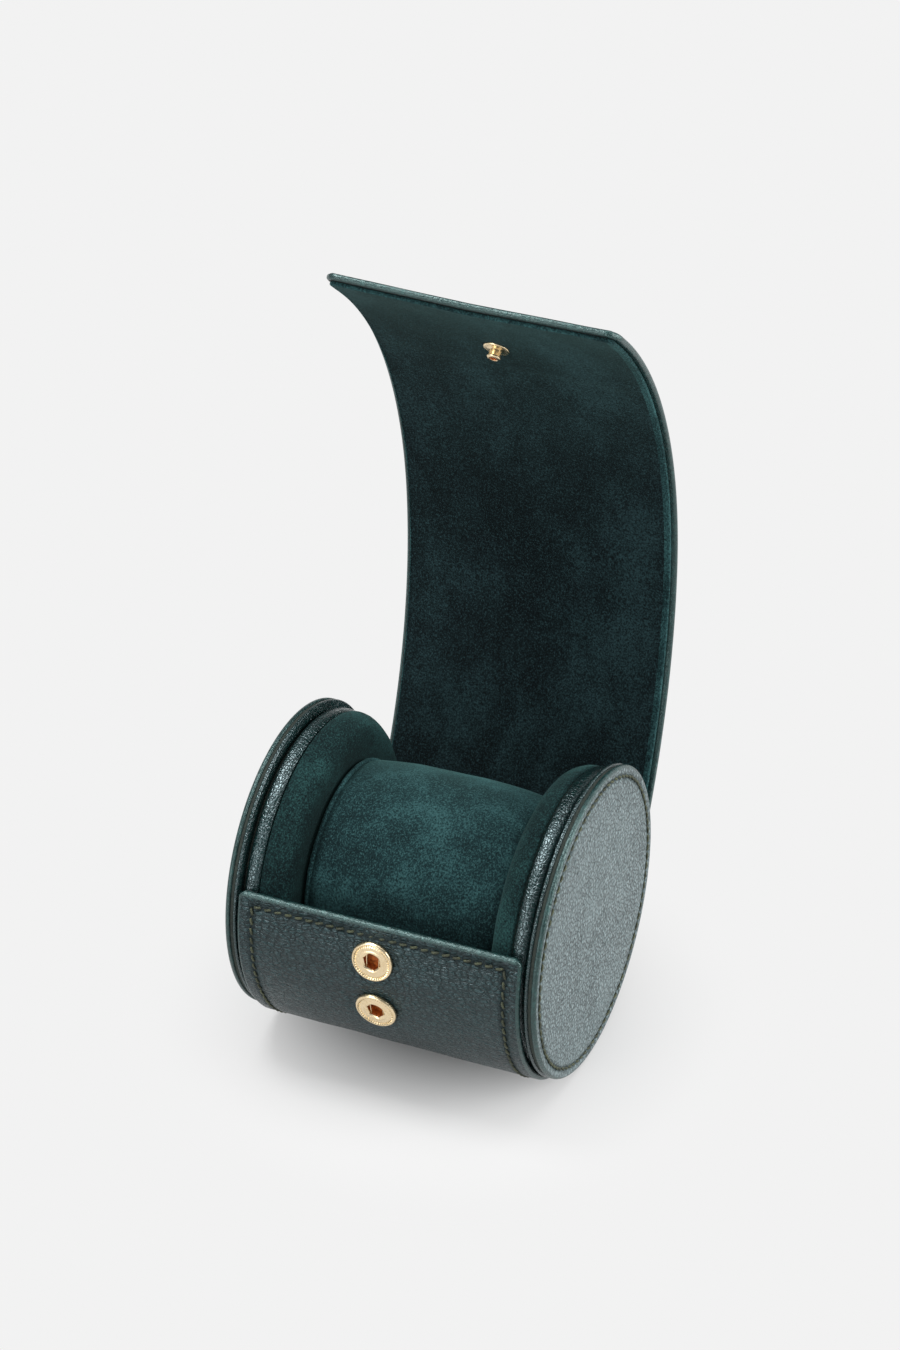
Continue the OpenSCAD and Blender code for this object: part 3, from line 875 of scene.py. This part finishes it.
for side, word in ((-1, "left"), (1, "right")):
    line = discOutline()
    rimKinds = [1 if 0.5 * (a[0] + b[0]) > discSizes["radius"] - 0.75 else 0 for a, b in zip(line, line[1:])]
    face = turnedPiece(word + "DiscFace", line, [litDiscHide, edgePaint], 200, side, rimKinds, discShape)
    keepChannel(face, [discDepth(v) for v in face.data.vertices])
    stand(face, "roll", "disc_leather", word + "_disc_face")
    backing = turnedPiece(word + "DiscBacking", backingOutline(), [bandHide], 160, side)
    stand(backing, "roll", "trim_leather", word + "_disc_backing")
    band = turnedPiece(word + "DrumBand", bandOutline(), [bandHide], 220, side, shape=bandShape, closed=True)
    stand(band, "roll", "trim_leather", word + "_drum_band")
    shoulder = turnedPiece(word + "DrumSuede", shoulderOutline(), [shadedDrumSuede], 160, side, shape=shoulderShape)
    keepChannel(shoulder, [valleyShade(v) for v in shoulder.data.vertices])
    stand(shoulder, "roll", "suede", word + "_drum_suede")
print("discs and drums made")


# The stitches
stitchSizes = {"pitch": 2.75, "length": 2.25, "thick": 0.35, "rise": 0.2, "slant": 14.0}


def addStitch(points, faces, centre, forward, sideways, up, size):
    # one stitch: a short arched thread whose ends dive into the leather
    rings, around = 8, 7
    slant = math.radians(size["slant"] + random.uniform(-5, 5))
    f = forward * math.cos(slant) + sideways * math.sin(slant)
    s = up.cross(f)
    half = size["length"] / 2 * random.uniform(0.93, 1.04)
    base = len(points)
    for i in range(rings + 1):
        t = -1 + 2 * i / rings
        c = centre + f * (half * t) + up * (size["rise"] - 0.42 * abs(t) ** 3)
        r = size["thick"] * (1 - 0.35 * abs(t) ** 4) * (1 + 0.1 * math.cos(9 * t))
        for k in range(around):
            a = 2 * math.pi * k / around + t * 1.4
            points.append(tuple(c + s * (r * math.cos(a)) + up * (0.85 * r * math.sin(a))))
    for i in range(rings):
        for k in range(around):
            k2 = (k + 1) % around
            a, b = base + i * around, base + (i + 1) * around
            faces.append((a + k, a + k2, b + k2, b + k))
    faces.append(tuple(base + k for k in range(around)))
    faces.append(tuple(base + rings * around + k for k in reversed(range(around))))


def stitchPiece(name, places):
    points, faces = [], []
    for centre, forward, sideways, up in places:
        addStitch(points, faces, centre, forward, sideways, up, stitchSizes)
    return makePiece(name, points, faces, [thread], sharp=80)


def onWrap(x, angle, sink=0.2):
    n = outward(angle)
    up = Vector((0, n[0], n[1]))
    return Vector((x, 0, 0)) + up * (outside - sink), up


def wrapStitches():
    places = []
    perDegree = math.radians(1) * outside
    rowX, first, last = wrapSizes["stitchX"], wrapSizes["stitchAngle"], wrapSizes["stitchEnd"]
    count = round(2 * rowX / stitchSizes["pitch"])
    for k in range(count):
        x = -rowX + (k + 0.5) * 2 * rowX / count
        c, up = onWrap(x, first)
        places.append((c, Vector((1, 0, 0)), up.cross(Vector((1, 0, 0))), up))
    run = (last - first) * perDegree
    count = round(run / stitchSizes["pitch"])
    for side in (-1, 1):
        for k in range(count):
            angle = first + (k + 0.5) * (last - first) / count
            c, up = onWrap(side * rowX, angle)
            if c.z < -wrapSizes["flat"] + 0.6:
                continue
            forward = Vector((1, 0, 0)).cross(up)
            places.append((c, forward, Vector((1, 0, 0)), up))
    return places


def discStitches(side):
    places = []
    r = discSizes["stitchRadius"]
    count = round(2 * math.pi * r / stitchSizes["pitch"])
    up = Vector((side, 0, 0))
    for k in range(count):
        t = 2 * math.pi * (k + 0.5) / count
        c = Vector((side * (discSizes["end"] - 0.24), r * math.cos(t), r * math.sin(t)))
        forward = Vector((0, -math.sin(t), math.cos(t)))
        places.append((c, forward, Vector((0, math.cos(t), math.sin(t))), up))
    return places


stand(stitchPiece("frontStitches", wrapStitches()), "roll", "thread", "front_panel_thread")
stand(stitchPiece("leftDiscStitches", discStitches(-1)), "roll", "thread", "left_disc_thread")
stand(stitchPiece("rightDiscStitches", discStitches(1)), "roll", "thread", "right_disc_thread")
print("stitches made")


# The snap fasteners
snapSizes = {"ringRadius": 5.4, "ringHeight": 1.2, "hole": 2.2, "cup": 3.0, "cupFloor": -1.68, "ticks": 44,
             "shift": -1.29, "flange": 3.3, "studHead": 1.75, "wire": 0.16, "wireApart": 1.66,
             "wireReach": 2.15, "wireHeight": 0.12}


def socketOutline():
    h, r, hole = snapSizes["ringHeight"], snapSizes["ringRadius"], snapSizes["hole"]
    cup, floor = snapSizes["cup"], snapSizes["cupFloor"]
    line = [(0, floor), (cup, floor), (cup, 0.0), (r - 0.25, 0.0), (r - 0.05, 0.1), (r, 0.3)]
    # over the rim, through the milled groove and down into the hole
    line += [(r - inset, h - drop) for inset, drop in (
        (0, 0.55), (0.08, 0.28), (0.26, 0.08), (0.42, 0), (0.58, 0.04), (0.66, 0.26), (0.8, 0.4),
        (1.04, 0.42), (1.22, 0.24), (r - 3.9, 0.2), (r - 3.4, 0.2), (r - 3.05, 0.14), (r - 2.85, 0.04),
        (r - 2.62, 0.05), (r - 2.42, 0.18), (r - hole, 0.4))]
    line += [(hole + 0.12, 0.2), (hole + 0.25, -0.3), (hole + 0.2, -1.4), (0, -1.5)]
    return line, [0] * (len(line) - 4) + [1] * 3


def milled(r, h, t):
    # a plain milled groove inside the rim, and a six-sided spring hole
    if snapSizes["ringRadius"] - 1.1 < r < snapSizes["ringRadius"] - 0.6 and h > 0.7:
        h += 0.3 * max(0.0, math.sin(snapSizes["ticks"] * t)) ** 0.6
    if r < 2.5 and h > -0.95:
        turn = (t + 0.3) % (math.pi / 3) - math.pi / 6
        share = 0.75 if h < 1 else 0.35
        r *= 1 - share + share * 0.93 / math.cos(turn)
    return r, h


springs = []
for number, place in enumerate(wrapSizes["sockets"], 1):
    at, n = outward(place["at"]), outward(place["faces"])
    up = Vector((0, n[0], n[1]))
    seat = Vector((wrapSizes["socketX"], at[0] * wrapSizes["socketSeat"], at[1] * wrapSizes["socketSeat"]))
    line, kinds = socketOutline()
    socket = turnedOn("snapSocket_%d" % number, line, [gold, lacquer], kinds, seat, up, 352, milled)
    if number == 1:
        stand(socket, "roll", "snap_metal", "snap_sockets")
    else:
        stand(socket, "roll", "snap_metal")
    springs.append((seat, up))


def springPiece(name, seats):
    # the two spring wires of each socket, which the stud's neck passes between
    points, faces = [], []
    rings, around, s = 6, 10, snapSizes
    across = Vector((1, 0, 0))
    for seat, up in seats:
        down = up.cross(across)
        for side in (-1, 1):
            base = len(points)
            for i in range(rings + 1):
                f = -1 + 2 * i / rings
                middle = seat + across * (side * (s["wireApart"] - 0.1 * f * f))
                middle += down * (s["wireReach"] * f) + up * s["wireHeight"]
                for k in range(around):
                    t = 2 * math.pi * k / around
                    points.append(tuple(middle + (across * math.cos(t) + up * math.sin(t)) * s["wire"]))
            made = [list(range(base + i * around, base + (i + 1) * around)) for i in range(rings + 1)]
            faces += joinRings(made)[0] + [tuple(made[0]), tuple(reversed(made[-1]))]
    return makePiece(name, points, faces, [gold], sharp=60)


stand(springPiece("snapSprings", springs), "roll", "snap_metal", "snap_wires")

studPoint, studNormal = flapPoint(studAlong + snapSizes["shift"])
inwardFlap = Vector((0, -studNormal[0], -studNormal[1]))
studBase = Vector((wrapSizes["socketX"], *studPoint))
s = snapSizes
studLine = [(0, 0.0), (s["flange"], 0.0), (s["flange"], 0.18), (s["flange"] - 0.12, 0.34),
            (s["flange"] - 0.4, 0.4), (2.5, 0.36), (2.2, 0.45), (1.6, 0.52), (1.45, 0.62), (1.4, 1.75),
            (1.55, 1.95), (1.72, 2.12), (s["studHead"], 2.3), (1.7, 2.5), (1.5, 2.68), (1.25, 2.78),
            (1.05, 2.8), (0.92, 2.74), (0.85, 2.5), (0.8, 1.9), (0, 1.8)]
studKinds = [0] * 17 + [1] * 3
stud = turnedOn("snapStud", studLine, [gold, lacquer], studKinds, studBase, inwardFlap)
stand(stud, "flap_10", "snap_metal", "snap_stud")
capLine = [(0, 0.0), (5.3, 0.0), (5.48, 0.12), (5.5, 0.35), (5.42, 0.62), (5.1, 0.86), (4.5, 1.1), (3.5, 1.4),
           (2.4, 1.62), (1.2, 1.76), (0, 1.8)]
capBase = studBase - inwardFlap * sheet
cap = turnedOn("snapCap", capLine, [gold], [0] * 10, capBase, -inwardFlap)
stand(cap, "flap_10", "snap_metal", "snap_cap")
print("snaps made")


# The watch cushion
cushionSizes = {"radius": 29.0, "fall": 9.1, "half": 26.2}


def cushionOutline():
    # (radius, x) from the middle of the left end to the middle of the right end
    c = cushionSizes
    half = [(0, c["half"] - 1.7), (8, c["half"] - 1.6), (14, c["half"] - 1.3), (19, c["half"] - 0.9),
            (23, c["half"] - 0.5), (25.6, c["half"] - 0.3), (26.8, c["half"] - 0.5), (27.3, c["half"] - 1.1),
            (27.4, c["half"] - 2.3)]
    crown = []
    inner = c["half"] - 2.3
    steps = 22
    for k in range(1, steps):
        x = inner * (1 - 2 * k / steps)
        share = abs(x) / inner
        crown.append((c["radius"] - 0.3 - 1.5 * share ** 2.6, x))
    return half + crown + [(r, -x) for r, x in reversed(half)]


def cushionPiece(name, outline, steps=180):
    c = cushionSizes
    path = []
    straight = 9
    arc = (steps - 2 * straight) // 2
    for k in range(arc + 1):
        t = math.pi * k / arc
        path.append((math.cos(t), math.sin(t), 0.0))
    for k in range(1, straight):
        path.append((-1.0, 0.0, -c["fall"] * k / straight))
    for k in range(arc + 1):
        t = math.pi + math.pi * k / arc
        path.append((math.cos(t), math.sin(t), -c["fall"]))
    for k in range(1, straight):
        path.append((1.0, 0.0, -c["fall"] * (1 - k / straight)))
    # the middle of an end panel is a short line from one centre to the other
    points = [(x, dy * r, dz * r + low) for r, x in outline for dy, dz, low in path]
    count = len(path)
    faces = joinRings([list(range(i * count, (i + 1) * count)) for i in range(len(outline))])[0]
    mesh = bpy.data.meshes.new(name)
    mesh.from_pydata([inFrame(p) for p in points], [], faces)
    work = bmesh.new()
    work.from_mesh(mesh)
    bmesh.ops.remove_doubles(work, verts=work.verts, dist=1e-6)
    bmesh.ops.dissolve_degenerate(work, edges=work.edges, dist=1e-7)
    work.to_mesh(mesh)
    work.free()
    return mesh


padSizes = {"larger": 10, "voxel": 1.5, "pressure": 4.0, "cap": 0.9, "endCap": 0.55, "frames": 20,
            "lowest": -38.0, "seamRadius": 26.8, "seamX": 25.45, "welt": 0.7, "grooveX": 24.55,
            "grooveWidth": 0.75, "endGroove": 25.35, "endGrooveWidth": 0.7, "gathersFrom": 17}


def swell(mesh):
    # cloth simulation at ten times the size, where Blender's settings for cushions hold
    big = padSizes["larger"]
    pad = bpy.data.objects.new("pad", mesh)
    bpy.context.scene.collection.objects.link(pad)
    for v in mesh.vertices:
        v.co *= big
    again = pad.modifiers.new("remesh", "REMESH")
    again.mode = "VOXEL"
    again.voxel_size = padSizes["voxel"] * mm * big
    bpy.context.view_layer.update()
    even = bpy.data.meshes.new_from_object(pad.evaluated_get(bpy.context.evaluated_depsgraph_get()))
    pad.modifiers.clear()
    pad.data = even
    count = len(even.vertices)
    start = np.empty(count * 3)
    even.vertices.foreach_get("co", start)
    start = start.reshape(-1, 3)
    seam = pad.vertex_groups.new(name="seam")
    for k, v in enumerate(start):
        if abs(abs(v[0]) / big / mm - padSizes["seamX"]) < 1.0:
            r = stadiumRadius(v[1] / big / mm, v[2] / big / mm - axisHeight)
            if r > 25.3:
                seam.add([k], 1.0, "REPLACE")
    cloth = pad.modifiers.new("cloth", "CLOTH")
    cloth.settings.quality = 5
    cloth.settings.use_pressure = True
    cloth.settings.uniform_pressure_force = padSizes["pressure"]
    cloth.settings.effector_weights.gravity = 0
    cloth.settings.vertex_group_mass = "seam"
    cloth.point_cache.frame_start = 1
    cloth.point_cache.frame_end = padSizes["frames"]
    for f in range(1, padSizes["frames"] + 1):
        bpy.context.scene.frame_set(f)
    done = bpy.data.meshes.new_from_object(pad.evaluated_get(bpy.context.evaluated_depsgraph_get()))
    pad.modifiers.clear()
    bpy.context.scene.frame_set(1)
    end = np.empty(count * 3)
    done.vertices.foreach_get("co", end)
    move = end.reshape(-1, 3) - start
    length = np.linalg.norm(move, axis=1) + 1e-12
    onEnd = np.abs(start[:, 0]) / big / mm > padSizes["seamX"] - 2.5
    cap = np.where(onEnd, padSizes["endCap"], padSizes["cap"]) * mm * big
    print("pad moved by up to %.2f mm" % (length.max() / big / mm))
    start = start + move * np.minimum(1, cap / length)[:, None]
    even.vertices.foreach_set("co", (start / big).ravel())
    fine = pad.modifiers.new("fine", "SUBSURF")
    fine.levels = 1
    bpy.context.view_layer.update()
    smooth = bpy.data.meshes.new_from_object(pad.evaluated_get(bpy.context.evaluated_depsgraph_get()))
    bpy.data.objects.remove(pad)
    return smooth


def stadiumRadius(y, z):
    drop = -cushionSizes["fall"]
    if z > 0:
        return math.hypot(y, z)
    return abs(y) if z > drop else math.hypot(y, z - drop)


def finishPad(mesh):
    # soft unevenness, gathers near the ends and the grooves beside the welts, with the groove depths given
    # back as painted shade for the suede
    depths = []
    s = padSizes
    for v in mesh.vertices:
        x, y, z = v.co.x / mm, v.co.y / mm, v.co.z / mm - axisHeight
        r = max(0.1, stadiumRadius(y, z))
        low = min(0.0, max(-cushionSizes["fall"], z))
        push, depth = 0.0, 0.0
        if r > 25 and abs(x) < 25:
            around = math.atan2(z - low, y) * 27
            push = wobble(x, y, z, 15, 0.34) + wobble(x, y, z, 5.5, 0.09, 2.0)
            near = max(0.0, (abs(x) - s["gathersFrom"]) / 8)
            push += near * wobble(around, 0, x * 0.2, 4.2, 0.26, 6.0)
            # painted shade: the groove depth is also kept to darken the suede beside the welts and round the
            # ends
            depth = lineFade(abs(x) - s["grooveX"], s["grooveWidth"])
            push -= 0.3 * depth
            depth *= 0.6
        elif r < 26 and abs(x) > 24:
            depth = 0.9 * lineFade(r - s["endGroove"], s["endGrooveWidth"])
        depths.append(depth)
        if push:
            k = (r + push) / r
            y, z = y * k, (z - low) * k + low
        v.co = inFrame((x, y, max(z, padSizes["lowest"])))
    return depths


def weltPiece(name):
    # the sewn ridge round each end
    points, faces = [], []
    along, around = 300, 12
    c = cushionSizes
    straight, half = c["fall"], math.pi * padSizes["seamRadius"]
    whole = 2 * (straight + half)
    for side in (-1, 1):
        base = len(points)
        for k in range(along):
            d = whole * k / along
            if d < half:
                t, low = d / padSizes["seamRadius"], 0.0
            elif d < half + straight:
                t, low = math.pi, -(d - half)
            elif d < 2 * half + straight:
                t, low = (d - straight) / padSizes["seamRadius"], -straight
            else:
                t, low = 2 * math.pi, -(whole - d)
            for j in range(around):
                a = 2 * math.pi * j / around
                w = padSizes["welt"] + wobble(d, a, side * 9, 3.5, 0.09)
                r = padSizes["seamRadius"] + w * math.sin(a) + wobble(d, 0, side * 5, 13, 0.12)
                x = side * (padSizes["seamX"] - 0.12) + 0.8 * w * math.cos(a)
                points.append((x, r * math.cos(t), r * math.sin(t) + low))
        for k in range(along):
            for j in range(around):
                a, b = base + k * around, base + (k + 1) % along * around
                j2 = (j + 1) % around
                faces.append((a + j, a + j2, b + j2, b + j))
    return makePiece(name, points, faces, [suede], sharp=90)


pad = swell(cushionPiece("padStart", cushionOutline()))
depths = finishPad(pad)
pad.materials.clear()
pad.materials.append(suede)
cushion = dress("watchCushion", pad, 80)
keepChannel(cushion, depths)
stand(cushion, "cushion", "suede", "cushion_cover", "cushion_left_end", "cushion_right_end", "cushion_foam")
stand(weltPiece("cushionWelts"), "cushion", "suede")
print("cushion made")


# What stays as the solids give it
for node, obj in frame["nodes"].items():
    if obj.hide_render:
        continue
    finish = gold if node.startswith("snap") else board
    obj.data.materials.clear()
    obj.data.materials.append(finish)
    if not obj.data.attributes.get("restPlace"):
        rememberPlace(obj.data)
print("plain solids dressed")


# Floor, light and camera
stageLook = {
    "floor": (0.70, 0.70, 0.70, 1),
    "floorSpecks": (0.69, 0.69, 0.70, 1),
    "backdrop": (0.888, 0.888, 0.888, 1),
    "spot": (0.78, 0.8, 1),  # less than 1 makes the lit floor longer that way
    "fade": (0.008, 0.065),
    "fill": 0.73,
    "room": (0.92, 0.98, 1.0, 1),  # what gloss mirrors, and how bright it is
    "mirrored": 0.28,
    "sun": 0.4,
    "sunAngle": 25.0,
    "sunFrom": (0.30, 0.22, 0.92),
}
softboxes = [
    {"towards": (-0.36, -0.05, 0.93), "edge": (0.90, 0.96), "level": 5.5},
    {"towards": (-0.40, -0.88, 0.22), "edge": (0.86, 0.97), "level": 2.2},
    {"towards": (0.75, 0.55, 0.25), "edge": (0.80, 0.95), "level": 1.6},
]
windows = [
    {"name": "rightWindow", "at": (1.3, 0.25, 0.55), "size": 0.8, "power": 18.0},
    {"name": "topWindow", "at": (-0.30, -0.05, 0.85), "size": 0.24, "power": 3.2},
    {"name": "frontWindow", "at": (-0.45, -1.1, 0.35), "size": 0.45, "power": 3.0},
]

floorPaint = Paint("floor")
spotAt = floorPaint.node("ShaderNodeTexCoord", out="Object")
grain = floorPaint.cloud(spotAt, 3.0, 2)
floorTone = floorPaint.blendColours(grain * 0.02, stageLook["floor"], stageLook["floorSpecks"])
floorPaint.give(Base_Color=floorTone, Roughness=0.8, Specular_IOR_Level=0.08)
# away from the roll the floor turns into the same even white as the backdrop
far = floorPaint.node("ShaderNodeVectorMath", {"operation": "LENGTH"},
                      {0: floorPaint.stretched(spotAt, stageLook["spot"])}, out="Value")
glow = floorPaint.node("ShaderNodeEmission", {}, {"Color": stageLook["backdrop"], "Strength": 1.0})
fade = floorPaint.node("ShaderNodeMapRange", {"interpolation_type": "SMOOTHSTEP"},
                       {"Value": far, "From Min": stageLook["fade"][0], "From Max": stageLook["fade"][1]})
lit = Wire(floorPaint, floorPaint.shader.outputs[0])
floorPaint.show(floorPaint.node("ShaderNodeMixShader", {}, {0: fade, 1: lit, 2: glow}), "Material Output")
floorMesh = bpy.data.meshes.new("floor")
reach = 6.0
floorMesh.from_pydata([(-reach, -reach, -0.0002), (reach, -reach, -0.0002), (reach, reach, -0.0002),
                       (-reach, reach, -0.0002)], [], [(0, 1, 2, 3)])
floorMesh.materials.append(floorPaint.material)
floor = bpy.data.objects.new("floor", floorMesh)
bpy.context.scene.collection.objects.link(floor)

world = bpy.data.worlds.new("studio")
bpy.context.scene.world = world
world.use_nodes = True
sky = Paint(tree=world.node_tree)
# what gloss mirrors: a dim room with softboxes in it
ahead = sky.node("ShaderNodeTexCoord", out="Generated")
strength = None
for box in softboxes:
    facing = sky.node("ShaderNodeVectorMath", {"operation": "DOT_PRODUCT"},
                      {0: ahead, 1: Vector(box["towards"]).normalized()}, "Value")
    bright = sky.node("ShaderNodeMapRange", {"interpolation_type": "SMOOTHSTEP"},
                      {"Value": facing, "From Min": box["edge"][0], "From Max": box["edge"][1],
                       "To Max": box["level"]})
    strength = bright + (stageLook["mirrored"] if strength is None else strength)
dim = sky.node("ShaderNodeBackground", {}, {"Color": stageLook["room"], "Strength": strength})
fill = sky.node("ShaderNodeBackground", {}, {"Color": (1, 1, 1, 1), "Strength": stageLook["fill"]})
seen = sky.node("ShaderNodeBackground", {}, {"Color": stageLook["backdrop"]})
glossy = sky.node("ShaderNodeLightPath", out="Is Glossy Ray")
fromCamera = sky.node("ShaderNodeLightPath", out="Is Camera Ray")
unseen = sky.node("ShaderNodeMixShader", {}, {0: glossy, 1: fill, 2: dim})
sky.show(sky.node("ShaderNodeMixShader", {}, {0: fromCamera, 1: unseen, 2: seen}), "World Output")

sunData = bpy.data.lights.new("overhead", "SUN")
sunData.energy = stageLook["sun"]
sunData.angle = math.radians(stageLook["sunAngle"])
sun = bpy.data.objects.new("overhead", sunData)
sun.rotation_mode = "QUATERNION"
sun.rotation_quaternion = Vector(stageLook["sunFrom"]).to_track_quat("Z", "Y")
bpy.context.scene.collection.objects.link(sun)

for w in windows:
    data = bpy.data.lights.new(w["name"], "AREA")
    data.shape = "SQUARE"
    data.size = w["size"]
    data.energy = w["power"]
    lamp = bpy.data.objects.new(w["name"], data)
    lamp.location = w["at"]
    lamp.rotation_mode = "QUATERNION"
    lamp.rotation_quaternion = (Vector(w["at"]) - Vector((0, 0, 0.06))).to_track_quat("Z", "Y")
    bpy.context.scene.collection.objects.link(lamp)

cameraSizes = {"azimuth": 23.85, "elevation": 31.86, "roll": -0.78, "distance": 771.0, "right": 2.89,
               "up": 52.9, "shiftX": -1.16, "lens": 36 * 3046 / 1350}
a, e, roll = (math.radians(cameraSizes[k]) for k in ("azimuth", "elevation", "roll"))
back = Vector((math.sin(a) * math.cos(e), -math.cos(a) * math.cos(e), math.sin(e)))
right = Vector((math.cos(a), math.sin(a), 0))
upward = back.cross(right)
right2 = right * math.cos(roll) + upward * math.sin(roll)
up2 = upward * math.cos(roll) - right * math.sin(roll)
cameraData = bpy.data.cameras.new("camera")
cameraData.lens = cameraSizes["lens"]
cameraData.sensor_width = 36
cameraData.clip_start = 0.01
camera = bpy.data.objects.new("camera", cameraData)
spot = back * cameraSizes["distance"] + right2 * cameraSizes["right"] + up2 * cameraSizes["up"]
spot += Vector((cameraSizes["shiftX"], 0, axisHeight))
camera.matrix_world = Matrix.Translation(spot * mm) @ Matrix((right2, up2, back)).transposed().to_4x4()
bpy.context.scene.collection.objects.link(camera)
bpy.context.scene.camera = camera
bpy.context.scene.view_settings.view_transform = "Standard"
print("stage made")

bpy.context.view_layer.update()
